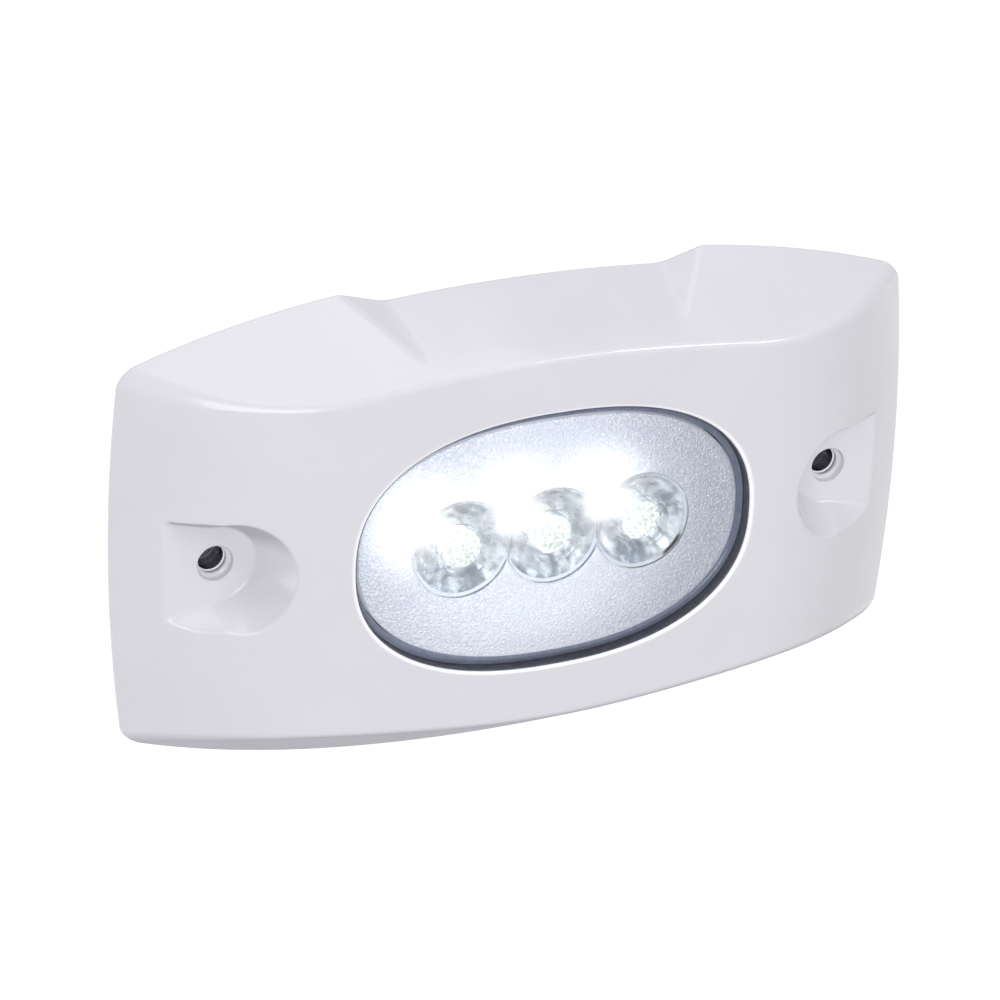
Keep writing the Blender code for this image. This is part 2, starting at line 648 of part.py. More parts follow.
def rear_housing():
    low, high = FLANGE_DEPTHS
    rings = [at_depth(oval(TUB), TUB_BACK), at_depth(oval(TUB), low),
             at_depth(oval(FLANGE), low), at_depth(oval(FLANGE), high)]
    housing = loft("rear_housing", rings, BLACK_PLASTIC)
    lugs = [plate(f"housing_lug_{number}", [stadium(at, (at[0] * 0.8, at[1] * 0.8), LUG_RADIUS)],
                  (low + 0.1, high - 0.1))
            for number, at in enumerate(cover_screw_places(), start=1)]
    outer, bore, back = SPIGOT
    spigot = turned("housing_spigot", [(0, 2.5), (outer, 2.5), (outer, back + 0.6),
                                       (outer - 0.6, back), (0, back)],
                    steps=ROUND_STEPS)
    cut(housing, *lugs, spigot, operation="UNION")
    cut(housing, plate("tub_hollow", [oval(TUB, TUB_WALL)], (TUB_FLOOR, high + 2.0)))
    cut(housing, turned("spigot_bore", [(0, 5), (bore, 5), (bore, back - 1), (0, back - 1)],
                        steps=ROUND_STEPS))
    cut(housing, cylinders("flange_holes", capsule_screw_places() + cover_screw_places(),
                           M3_HOLE, (low - 1.0, high + 1.0)))
    cut(housing, cylinders("board_screw_holes", [(-BOARD_SCREW_X, 0), (BOARD_SCREW_X, 0)],
                           M3_HOLE, (TUB_FLOOR - 1.5, TUB_FLOOR + 1.0)))


def pan_screw(name, at, under_head, shaft_end):
    """A small pan-head screw with a driver recess; it points from under_head to shaft_end."""
    toward = 1 if shaft_end > under_head else -1
    radius, height = PAN_HEAD
    head_top = under_head - toward * height
    recess = head_top + toward * 1.1
    profile = [(0, recess), (0.9, recess), (1.1, head_top), (radius - 0.5, head_top),
               (radius, head_top + toward * 0.7), (radius, under_head),
               (M3_SHAFT, under_head), (M3_SHAFT, shaft_end - toward * 0.5),
               (M3_SHAFT - 0.5, shaft_end), (0, shaft_end)]
    if toward > 0:
        profile.reverse()
    turned(name, profile, STAINLESS, at, steps=SCREW_STEPS)


def fasteners():
    back = FLANGE_DEPTHS[0] - GAP
    for number, at in enumerate(capsule_screw_places(), start=1):
        pan_screw(f"capsule_screw_{number}", at, back, CLAMP_DEPTHS[1] - 0.2)
    for number, at in enumerate(cover_screw_places(), start=1):
        pan_screw(f"cover_screw_{number}", at, back, PILOT_END - 0.4)
    for side, word in ((-1, "left"), (1, "right")):
        pan_screw(f"board_screw_{word}", (side * BOARD_SCREW_X, 0), ON_BOARD, BOARD_SCREW_END)


def fixing_sleeves():
    outer, inner, front, back = SLEEVE
    for side, word in ((-1, "left"), (1, "right")):
        turned(f"fixing_sleeve_{word}",
               [(inner + 0.2, front), (outer, front), (outer, back), (inner, back),
                (inner, front - 0.2)], STAINLESS, (side * FIXING_X, 0), tube=True)


def flat_rings():
    plate("lens_seal", [oval(FLANGE), oval(FLANGE, 6.8)] + screw_holes(), SEAL_DEPTHS,
          DARK_RUBBER)
    plate("clamp_ring", [oval(FLANGE), oval(FLANGE, 7.1)] + screw_holes(), CLAMP_DEPTHS,
          STAINLESS)


# ---- Cable entry -------------------------------------------------------------------------
def supply_leads():
    """Two leads from the board, along the slot under it and out through the bung."""
    along = 4.9
    for side, word, paint in ((-1, "red", LEAD_RED), (1, "black", LEAD_BLACK)):
        bend = [(LEAD_BOARD_Z, 8.8), (LEAD_BOARD_Z, 6.3), (LEAD_BOARD_Z + 0.35, 5.4),
                (LEAD_BOARD_Z + 1.2, along), (-12.0, along), (-9.0, along), (-6.6, along),
                (-5.3, 4.5), (LEAD_BORE_Z, 3.4), (LEAD_BORE_Z, 0.0), (LEAD_BORE_Z, -4.0),
                (LEAD_BORE_Z, -8.6)]
        curve = bpy.data.curves.new(f"supply_lead_{word}", "CURVE")
        curve.dimensions = "3D"
        curve.bevel_depth = LEAD_RADIUS * MM
        curve.bevel_resolution = 2
        curve.use_fill_caps = True
        spline = curve.splines.new("POLY")
        spline.points.add(len(bend) - 1)
        for point, (z, depth) in zip(spline.points, bend):
            point.co = (*place(side * LEAD_X, z, depth), 1.0)
        finish(bpy.data.objects.new(f"supply_lead_{word}", curve), paint)


def cable_entry():
    fit = SPIGOT[1] - GAP
    low, high = BUNG_DEPTHS
    bung = turned("lead_bung", [(0, high), (fit - 0.3, high), (fit, high - 0.3), (fit, low),
                                (0, low)], DARK_RUBBER)
    cut(bung, cylinders("bung_holes", [(-LEAD_X, LEAD_BORE_Z), (LEAD_X, LEAD_BORE_Z)],
                        LEAD_RADIUS + GAP, (low - 2.0, 2.0), 12))
    narrow, high, cone_end = SEAL_SHOULDER
    turned("cable_seal", [(CABLE_BORE, high), (narrow, high), (fit, cone_end), (fit, SEAL_BACK),
                          (CABLE_BORE, SEAL_BACK)], DARK_RUBBER, tube=True)
    inner, rim, low, high = THRUST_RING
    turned("thrust_ring", [(inner, high), (rim, high), (rim, low), (inner, low)], STAINLESS,
           tube=True)
    ring, cord, depth = O_RING
    section = [(ring + cord * math.cos(i * math.pi / 4), depth + cord * math.sin(i * math.pi / 4))
               for i in range(8, 0, -1)]
    turned("spigot_o_ring", section, DARK_RUBBER, tube=True)


def gland_nut():
    """Turns on the spigot about the Y axis through x = z = 0 and presses the thrust ring."""
    rear, front = NUT_DEPTHS
    nut = cylinders("gland_nut", [(0, 0)], NUT_FLAT / math.cos(math.pi / 6), NUT_DEPTHS, 6,
                    BLACK_PLASTIC)
    chamfer = nut.modifiers.new("edges", "BEVEL")
    chamfer.width = 0.5 * MM
    chamfer.segments = 1
    inside = SPIGOT[0] + GAP
    wall_front = rear + NUT_END_WALL
    cut(nut, turned("nut_bore", [(0, front + 1), (inside, front + 1), (inside, wall_front),
                                 (NUT_HOLE, wall_front), (NUT_HOLE, rear - 1), (0, rear - 1)],
                    steps=ROUND_STEPS))


front_cover()
lens()
window_gasket()
flat_rings()
reflector_mask()
optics()
optic_holder()
leds()
board_stack()
board_parts()
rear_housing()
fasteners()
fixing_sleeves()
supply_leads()
cable_entry()
gland_nut()
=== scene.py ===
"""Looks of the surface-mounted underwater pool light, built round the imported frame.

Shapes are worked out in millimetres as a depth out of the wall over (x, z), as in the CAD:
a point at depth d has y = -d. MM turns them into metres as each mesh is made.
"""
import math

import bmesh
import bpy
import numpy as np
from mathutils import Matrix, Vector, geometry


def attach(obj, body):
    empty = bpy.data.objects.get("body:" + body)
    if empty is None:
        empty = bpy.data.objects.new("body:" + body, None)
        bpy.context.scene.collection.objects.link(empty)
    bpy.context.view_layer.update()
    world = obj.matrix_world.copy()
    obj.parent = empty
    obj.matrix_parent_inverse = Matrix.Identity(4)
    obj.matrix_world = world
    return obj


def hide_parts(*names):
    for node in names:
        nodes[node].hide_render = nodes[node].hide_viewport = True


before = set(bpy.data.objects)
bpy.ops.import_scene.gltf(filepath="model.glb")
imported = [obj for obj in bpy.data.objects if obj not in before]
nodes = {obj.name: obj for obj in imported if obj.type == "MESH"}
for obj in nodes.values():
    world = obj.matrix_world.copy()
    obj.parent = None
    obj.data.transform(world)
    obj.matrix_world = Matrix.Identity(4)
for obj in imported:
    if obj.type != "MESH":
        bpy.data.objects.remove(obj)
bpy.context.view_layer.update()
scene = bpy.context.scene

MM = 0.001
MERGE_DISTANCE = 1e-6         # flat points closer than this, in mm, become one
OVAL_STEPS, ROUND_STEPS = 192, 96   # points round an oval, and round a sleeve or an optic
NORMAL_STEP = 0.02            # half the distance over which the skin's slope is taken
LIGHT = "light"

# ---- Cover form, the same driving sizes as the CAD ----------------------------------------
HALF_WIDTH, SIDE_BOW = 90.0, 2.76
HALF_HEIGHT, TOP_BOW_2, TOP_BOW_4 = 54.15, 10.2, 2.86
BOW_X, BOW_Z = 87.8, 43.9
RIM_FRONT, RIM_BACK, RIM_ROUND = 0.7, 0.3, 0.1
CENTRE_DEPTH, CROWN_RADIUS = 22.45, 1600.0
SIDE_SLOPE, TOP_SLOPE, TOP_SLOPE_MID, TOP_SLOPE_SPREAD = 0.88, 1.53, 0.13, 28.0
SHOULDER_BLEND = 18.0
SCREW_BOSS = (3.1, 13.3)      # radius, and depth of its face
SCREW_HOLE = (1.8, 18.0)      # radius, and depth of its end
SCREW_STEPS = 24
WALL = 2.4
RIDGE_ROUND = (1.0, 2.6)      # rounding of the ridge in the middle, and at the corners
RIDGE_ROUND_X = (58.0, 84.0)
SCOOP_FLOOR_HALF, SCOOP_MOUTH_HALF = 31.0, 40.0
SCOOP_TIP = (28.7, 42.3, 17.2)
SCOOP_INSET = 3.45
SCOOP_VALLEY, SCOOP_EDGE = 0.45, 0.50   # rounding in the scoop's corners and along its edges
SKIN_STEP = 0.42              # spacing of the skin's points; half as much over the scoop
SCOOP_REGION = ((-45.9, 35.0), (46.0, 54.2))
FIXING_X = 69.7
POCKET_FLOOR, POCKET_RADIUS = 8.3, 8.4
POCKET_FLARE, POCKET_FLARE_EASE = 0.29, 2.0      # widening past the hole, and how softly it starts
POCKET_DRAFT = 0.42                     # lean of the wall at its round end
POCKET_DRAFT_ABOVE = (0.45, 0.015, 0.50)    # beside the hole, growth per mm past it, the most
POCKET_DRAFT_BELOW = (0.58, 0.06, 0.95)
POCKET_DRAFT_POWER = 4        # how late the wall turns from its round end's lean
POCKET_VALLEY, POCKET_EDGE = 0.60, 0.38
CHAIN_END = 12.5              # how far past the hole the mesh lines round a pocket start
CHAIN_REACH = (-1.3, 7.6)     # the span they cover, in and out from the floor's edge
WINDOW = (44.4, 28.9)
OVAL_POWER = 2.35
COVER_SCREW_AT = (33.0, 35.2)

# ---- Window and capsule ------------------------------------------------------------------------
LENS_CENTRE, LENS_CROWN, LENS_THICK = 21.9, 0.5, 1.0
FLANGE_HALF, FLANGE_BACK, FLANGE_FRONT = (52.0, 36.4), 14.6, 16.4
GASKET_LIP = (0.06, 0.27)               # outer and inner faces, in from the window's edge
RIM_LEDGE = 19.2                        # the lens's thick edge, seen below the gasket's lip
MASK_HALF = (42.66, 26.5)
MASK_CENTRE, MASK_CROWN = 20.05, 1.5
MASK_WALL, MASK_SKIRT, MASK_BACK = 1.2, 0.8, 9.5
OPTIC_PITCH, OPTIC_RADIUS, OPTIC_FRONT = 20.25, 10.78, 20.1
OPTIC_PLACES = {"left": -OPTIC_PITCH, "centre": 0.0, "right": OPTIC_PITCH}
OPENING_RADIUS = 10.95
DISH_RADIUS = 4.3
MASK_PAINTED_SHEEN = (-8.0, 0.0)                # middle of the broad painted sheen of light on the mask
FACES_OUT = -0.02                       # a face whose normal has less y than this faces out
SLEEVE = (3.9, 2.95, 5.0, -4.0)         # outer radius, bore radius, front end, end in the wall
SLEEVE_LAND = 1.0                       # how far behind the wall plane the ring of painted highlight lies
PAINTED_GLOW_OFFSET = (-9.6, 7.2)               # where the painted glow of each lit optic lies, beside the optic
PAINTED_GLOW_SPOTS = [(x + PAINTED_GLOW_OFFSET[0], PAINTED_GLOW_OFFSET[1]) for x in OPTIC_PLACES.values()]


# ---- Depth field of the cover ---------------------------------------------------------------
def soft_min(a, b, blend):
    overlap = np.maximum(blend - np.abs(a - b), 0.0)
    return np.minimum(a, b) - overlap * overlap / (4 * blend)


def round_max(a, b, radius):
    """The larger of two distances, with the edge where they meet rounded."""
    inside = np.minimum(np.maximum(a, b), -radius)
    return inside + np.hypot(np.maximum(a + radius, 0.0), np.maximum(b + radius, 0.0))


def half_height(x):
    ratio = (x / BOW_X) ** 2
    return HALF_HEIGHT - TOP_BOW_2 * ratio - TOP_BOW_4 * ratio * ratio


def ramp(value, low, high):
    share = np.clip((value - low) / (high - low), 0.0, 1.0)
    return share * share * (3 - 2 * share)


def scoop_facet():
    """Coefficients of depth = a + b |x| + c z for the flat ends of the scoop."""
    corners = ((SCOOP_MOUTH_HALF, half_height(SCOOP_MOUTH_HALF), 0.0),
               (SCOOP_FLOOR_HALF, half_height(SCOOP_FLOOR_HALF) - SCOOP_INSET, 0.0),
               SCOOP_TIP)
    rows = np.array([(1.0, x, z) for x, z, _ in corners])
    return np.linalg.solve(rows, np.array([depth for _, _, depth in corners]))


FACET = scoop_facet()
TIP_X, TIP_Z, TIP_DEPTH = SCOOP_TIP
SCOOP_SLOPE = TIP_DEPTH / (half_height(TIP_X) - SCOOP_INSET - TIP_Z)


def pocket_half(beyond):
    """Half width of the pocket's floor past the fixing hole."""
    eased = np.hypot(beyond, POCKET_FLARE_EASE) - POCKET_FLARE_EASE
    return POCKET_RADIUS + POCKET_FLARE * eased


def pocket_draft(beyond, z, reach):
    """Lean of the pocket's wall, more below the hole than above it."""
    turned = (np.abs(z) / np.maximum(reach, 0.001)) ** POCKET_DRAFT_POWER
    leans = []
    for beside, growth, most in (POCKET_DRAFT_ABOVE, POCKET_DRAFT_BELOW):
        straight = np.minimum(beside + growth * beyond, most)
        leans.append(np.where(beyond > 0, straight, POCKET_DRAFT + (beside - POCKET_DRAFT) * turned))
    share = ramp(z, -3.0, 3.0)
    return leans[1] + (leans[0] - leans[1]) * share


def outside(x, z, depth):
    """Signed distance from the cover's skin, about true near it: negative in the plastic."""
    across = np.abs(x)
    up = np.abs(z)
    top_slope = TOP_SLOPE + TOP_SLOPE_MID * np.exp(-(x / TOP_SLOPE_SPREAD) ** 2)
    front = CENTRE_DEPTH - x * x / (2 * CROWN_RADIUS)
    half_width = HALF_WIDTH - SIDE_BOW * (z / BOW_Z) ** 2
    side = RIM_FRONT + SIDE_SLOPE * (half_width - across)
    top = RIM_FRONT + top_slope * (half_height(x) - up)
    lean = SIDE_SLOPE * np.clip(0.5 + (front - side) / (2 * SHOULDER_BLEND), 0.0, 1.0)
    to_base = (depth - soft_min(front, side, SHOULDER_BLEND)) / np.hypot(1.0, lean)
    to_top = (depth - top) / np.hypot(1.0, top_slope)
    low, high = RIDGE_ROUND
    ridge = low + (high - low) * ramp(across, *RIDGE_ROUND_X)
    skin = round_max(to_base, to_top, ridge)

    floor = SCOOP_SLOPE * (half_height(x) - SCOOP_INSET - z)
    to_floor = (floor - depth) / math.hypot(1.0, SCOOP_SLOPE)
    facet = FACET[0] + FACET[1] * across + FACET[2] * z
    to_facet = (facet - depth) / math.sqrt(1.0 + FACET[1] ** 2 + FACET[2] ** 2)
    skin = round_max(skin, -round_max(to_floor, to_facet, SCOOP_VALLEY), SCOOP_EDGE)

    rise = depth - POCKET_FLOOR
    beyond = across - FIXING_X
    reach = np.hypot(beyond, z)
    draft = pocket_draft(beyond, z, reach)
    round_wall = reach - POCKET_RADIUS
    straight_wall = up - pocket_half(beyond)
    wall = np.where(beyond > 0, straight_wall, round_wall)
    to_wall = (wall - draft * rise) / np.hypot(1.0, draft)
    return round_max(skin, -round_max(to_wall, -rise, POCKET_VALLEY), POCKET_EDGE)


def depth_at(x, z, level=0.0):
    """Depth where the distance reaches a level: 0 on the skin, -WALL on the hollow's roof."""
    low = np.full_like(x, -30.0)
    high = np.full_like(x, 30.0)
    for _ in range(34):
        middle = (low + high) / 2
        deep = outside(x, z, middle) < level
        low = np.where(deep, middle, low)
        high = np.where(deep, high, middle)
    return (low + high) / 2


def normals_at(x, z, depth):
    """Outward normals of the skin in world axes."""
    step = NORMAL_STEP
    slopes = [outside(x + step, z, depth) - outside(x - step, z, depth),
              outside(x, z, depth - step) - outside(x, z, depth + step),
              outside(x, z + step, depth) - outside(x, z - step, depth)]
    normals = np.stack(slopes, axis=1)
    return normals / np.linalg.norm(normals, axis=1, keepdims=True)


# ---- Meshes -----------------------------------------------------------------------------------
class Build:
    """Collects points and faces of one mesh. A row is a list of point numbers."""

    def __init__(self):
        self.points = []
        self.normals = {}
        self.faces = []

    def row(self, x, z, depth, normals=None):
        first = len(self.points)
        depth = np.broadcast_to(depth, np.shape(x))
        self.points += [(float(a), -float(c), float(b)) for a, b, c in zip(x, z, depth)]
        numbers = list(range(first, len(self.points)))
        if normals is not None:
            self.normals.update(zip(numbers, normals))
        return numbers

    def strip(self, low, high):
        count = len(low)
        for i in range(count):
            j = (i + 1) % count
            self.faces.append((low[i], low[j], high[j], high[i]))

    def strips(self, rows):
        for low, high in zip(rows, rows[1:]):
            self.strip(low, high)

    def cap(self, row):
        self.faces.append(tuple(row))

    def made(self, name, sharp=None):
        mesh = bpy.data.meshes.new(name)
        points = [(x * MM, y * MM, z * MM) for x, y, z in self.points]
        mesh.from_pydata(points, [], self.faces)
        work = bmesh.new()
        work.from_mesh(mesh)
        bmesh.ops.recalc_face_normals(work, faces=work.faces)
        work.to_mesh(mesh)
        work.free()
        mesh.shade_smooth()
        if sharp:
            mesh.set_sharp_from_angle(angle=math.radians(sharp))
        if self.normals:
            custom = [self.normals.get(i, (0.0, 0.0, 0.0)) for i in range(len(self.points))]
            mesh.normals_split_custom_set_from_vertices(custom)
        obj = bpy.data.objects.new(name, mesh)
        scene.collection.objects.link(obj)
        return obj


def oval(half, inset=0.0):
    angle = (np.arange(OVAL_STEPS) + 0.5) * 2 * math.pi / OVAL_STEPS
    power = 2 / OVAL_POWER
    x = (half[0] - inset) * np.sign(np.cos(angle)) * np.abs(np.cos(angle)) ** power
    z = (half[1] - inset) * np.sign(np.sin(angle)) * np.abs(np.sin(angle)) ** power
    return x, z


def circle(x, z, radius, count=64):
    angle = np.arange(count) * 2 * math.pi / count
    return x + radius * np.cos(angle), z + radius * np.sin(angle)


def within(px, pz, x, z):
    """Which points lie in a closed outline."""
    found = np.zeros(len(px), bool)
    for i in range(len(x)):
        x1, z1, x2, z2 = x[i - 1], z[i - 1], x[i], z[i]
        if z1 == z2:
            continue
        crosses = (z1 > pz) != (z2 > pz)
        found ^= crosses & (px < (x2 - x1) * (pz - z1) / (z2 - z1) + x1)
    return found


def near(px, pz, x, z, distance):
    """Which points lie closer than a distance to any of the given ones."""
    found = np.zeros(len(px), bool)
    for start in range(0, len(px), 2000):
        part = slice(start, start + 2000)
        gaps = np.hypot(px[part, None] - x[None, :], pz[part, None] - z[None, :])
        found[part] = gaps.min(axis=1) < distance
    return found


def fill(outer, holes, chains, free):
    """Triangles over the plane between an outline, its holes, chains and free points.

    Each of these is an (x, z) pair of arrays. Returns the points and the triangles; the
    outline's and the holes' points come first, in order."""
    loops = [outer] + holes
    closed_points = sum(len(loop[0]) for loop in loops)
    xs, zs, edges, count = [], [], [], 0
    for x, z in loops + chains:
        closed = count < closed_points
        edges += [(count + i, count + i + 1) for i in range(len(x) - 1)]
        if closed:
            edges.append((count + len(x) - 1, count))
        xs.append(x)
        zs.append(z)
        count += len(x)
    xs.append(free[0])
    zs.append(free[1])
    flat_x, flat_z = np.concatenate(xs), np.concatenate(zs)
    flat = [Vector((a, b)) for a, b in zip(flat_x.tolist(), flat_z.tolist())]
    cut = geometry.delaunay_2d_cdt(flat, edges, [], 0, MERGE_DISTANCE)
    faces, source = cut[2], cut[3]
    number = [origin[0] if origin else -1 for origin in source]
    assert min(number) >= 0, "two chains cross"
    faces = np.array([[number[i] for i in face] for face in faces])
    middle_x, middle_z = flat_x[faces].mean(axis=1), flat_z[faces].mean(axis=1)
    keep = within(middle_x, middle_z, *outer)
    for hole in holes:
        keep &= ~within(middle_x, middle_z, *hole)
    faces = faces[keep]
    x0, x1, x2 = flat_x[faces].T
    z0, z1, z2 = flat_z[faces].T
    turn = (x1 - x0) * (z2 - z0) - (z1 - z0) * (x2 - x0)
    faces[turn < 0] = faces[turn < 0][:, ::-1]
    return flat_x, flat_z, faces


def edge_outline(depth, level, angles):
    """The closed outline, by rays from the middle, where the distance reaches a level."""
    low, high = np.full_like(angles, 20.0), np.full_like(angles, 120.0)
    for _ in range(40):
        middle = (low + high) / 2
        deep = outside(middle * np.cos(angles), middle * np.sin(angles),
                       np.full_like(angles, depth)) < level
        low = np.where(deep, middle, low)
        high = np.where(deep, high, middle)
    return low * np.cos(angles), low * np.sin(angles)


def outline_angles(count):
    """Ray angles spread along the edge, closer where it turns."""
    dense = np.linspace(0, 2 * math.pi, 8001)
    x, z = edge_outline(RIM_FRONT, 0.0, dense)
    dx, dz = np.gradient(x), np.gradient(z)
    heading = np.unwrap(np.arctan2(dz, dx))
    measure = np.hypot(dx, dz) + 9.0 * np.abs(np.gradient(heading))
    walked = np.concatenate([[0.0], np.cumsum((measure[1:] + measure[:-1]) / 2)])
    return np.interp(np.linspace(0, walked[-1], count + 1)[:-1], walked, dense)


def pocket_chains(side, level, count):
    """Lines that run round a pocket, packed where its floor, wall and edge turn."""
    straight = np.linspace(CHAIN_END, 0.6, 12)
    turn = np.linspace(0, math.pi, 41)
    start_x = np.concatenate([straight, -POCKET_RADIUS * np.sin(turn), straight[::-1]])
    flare = pocket_half(straight)
    start_z = np.concatenate([flare, POCKET_RADIUS * np.cos(turn), -flare[::-1]])
    ones = np.ones_like(straight)
    way_x = np.concatenate([0.0 * ones, -np.sin(turn), 0.0 * ones])
    way_z = np.concatenate([ones, np.cos(turn), -ones])
    reach = np.linspace(CHAIN_REACH[0], CHAIN_REACH[1] - level, 420)
    x = FIXING_X + start_x[:, None] + way_x[:, None] * reach[None, :]
    z = start_z[:, None] + way_z[:, None] * reach[None, :]
    depth = depth_at(x.ravel(), z.ravel(), level).reshape(x.shape)
    slope = np.arctan(np.gradient(depth, reach, axis=1))
    bend = np.abs(np.gradient(slope, axis=1))
    bend = (bend + np.roll(bend, 1, axis=1) + np.roll(bend, -1, axis=1)) / 3
    measure = 0.012 + np.abs(np.gradient(depth, axis=1)) * 0.05 + bend
    walked = np.cumsum(measure, axis=1)
    walked -= walked[:, :1]
    chosen = np.array([np.interp(np.linspace(0, w[-1], count), w, reach) for w in walked])
    chosen = smooth_along(chosen, 2)
    chain_x = FIXING_X + start_x[:, None] + way_x[:, None] * chosen
    chain_z = start_z[:, None] + way_z[:, None] * chosen
    return [(side * chain_x[:, k], chain_z[:, k]) for k in range(count)]


def smooth_along(rows, rounds):
    """Evens out neighbouring rows, so that lines across them run smoothly."""
    for _ in range(rounds):
        rows[1:-1] = (rows[:-2] + 2 * rows[1:-1] + rows[2:]) / 4
    return rows


def graded_points(step, level, tight, low=(-90, -54), high=(90.1, 54.1), sparse=True):
    """Grid points over the cover: close ones where the skin turns, sparse ones elsewhere."""
    x, z = np.meshgrid(np.arange(low[0], high[0], step), np.arange(low[1], high[1], step))
    depth = depth_at(x.ravel(), z.ravel(), level)
    slope_x, slope_z = np.gradient(depth.reshape(x.shape), step)[::-1]
    length = np.sqrt(1 + slope_x ** 2 + slope_z ** 2)
    parts = (slope_x / length, slope_z / length, 1 / length)
    bend = sum(np.hypot(*np.gradient(part, step)) for part in parts)
    wide = bend
    for axis in (0, 1):
        wide = np.maximum(wide, np.maximum(np.roll(wide, 1, axis), np.roll(wide, -1, axis)))
    rows, columns = np.indices(x.shape)
    keep = wide > tight
    if sparse:
        keep |= (rows % 4 == 0) & (columns % 4 == 0)
        keep |= (wide > tight / 4) & (rows % 2 == 0) & (columns % 2 == 0)
    return x[keep], z[keep]


def clear_points(points, outer, holes, chains, gap):
    """Drops free points that are outside, in a hole, among chains or too near any line."""
    x, z = points
    keep = within(x, z, *outer) & ~near(x, z, *outer, gap)
    for hole in holes:
        keep &= ~within(x, z, *hole) & ~near(x, z, *hole, gap)
    for side in (-1, 1):
        mine = [chain for chain in chains if chain[0][0] * side > 0]
        if not mine:
            continue
        inner, last = mine[0], mine[-1]
        ring = (np.concatenate([inner[0], last[0][::-1]]), np.concatenate([inner[1], last[1][::-1]]))
        keep &= ~within(x, z, *ring)
        for line in (inner, last):
            keep &= ~near(x, z, *line, gap)
        ends = np.array([(chain[0][i], chain[1][i]) for chain in mine for i in (0, -1)])
        keep &= ~near(x, z, ends[:, 0], ends[:, 1], gap)
    return x[keep], z[keep]


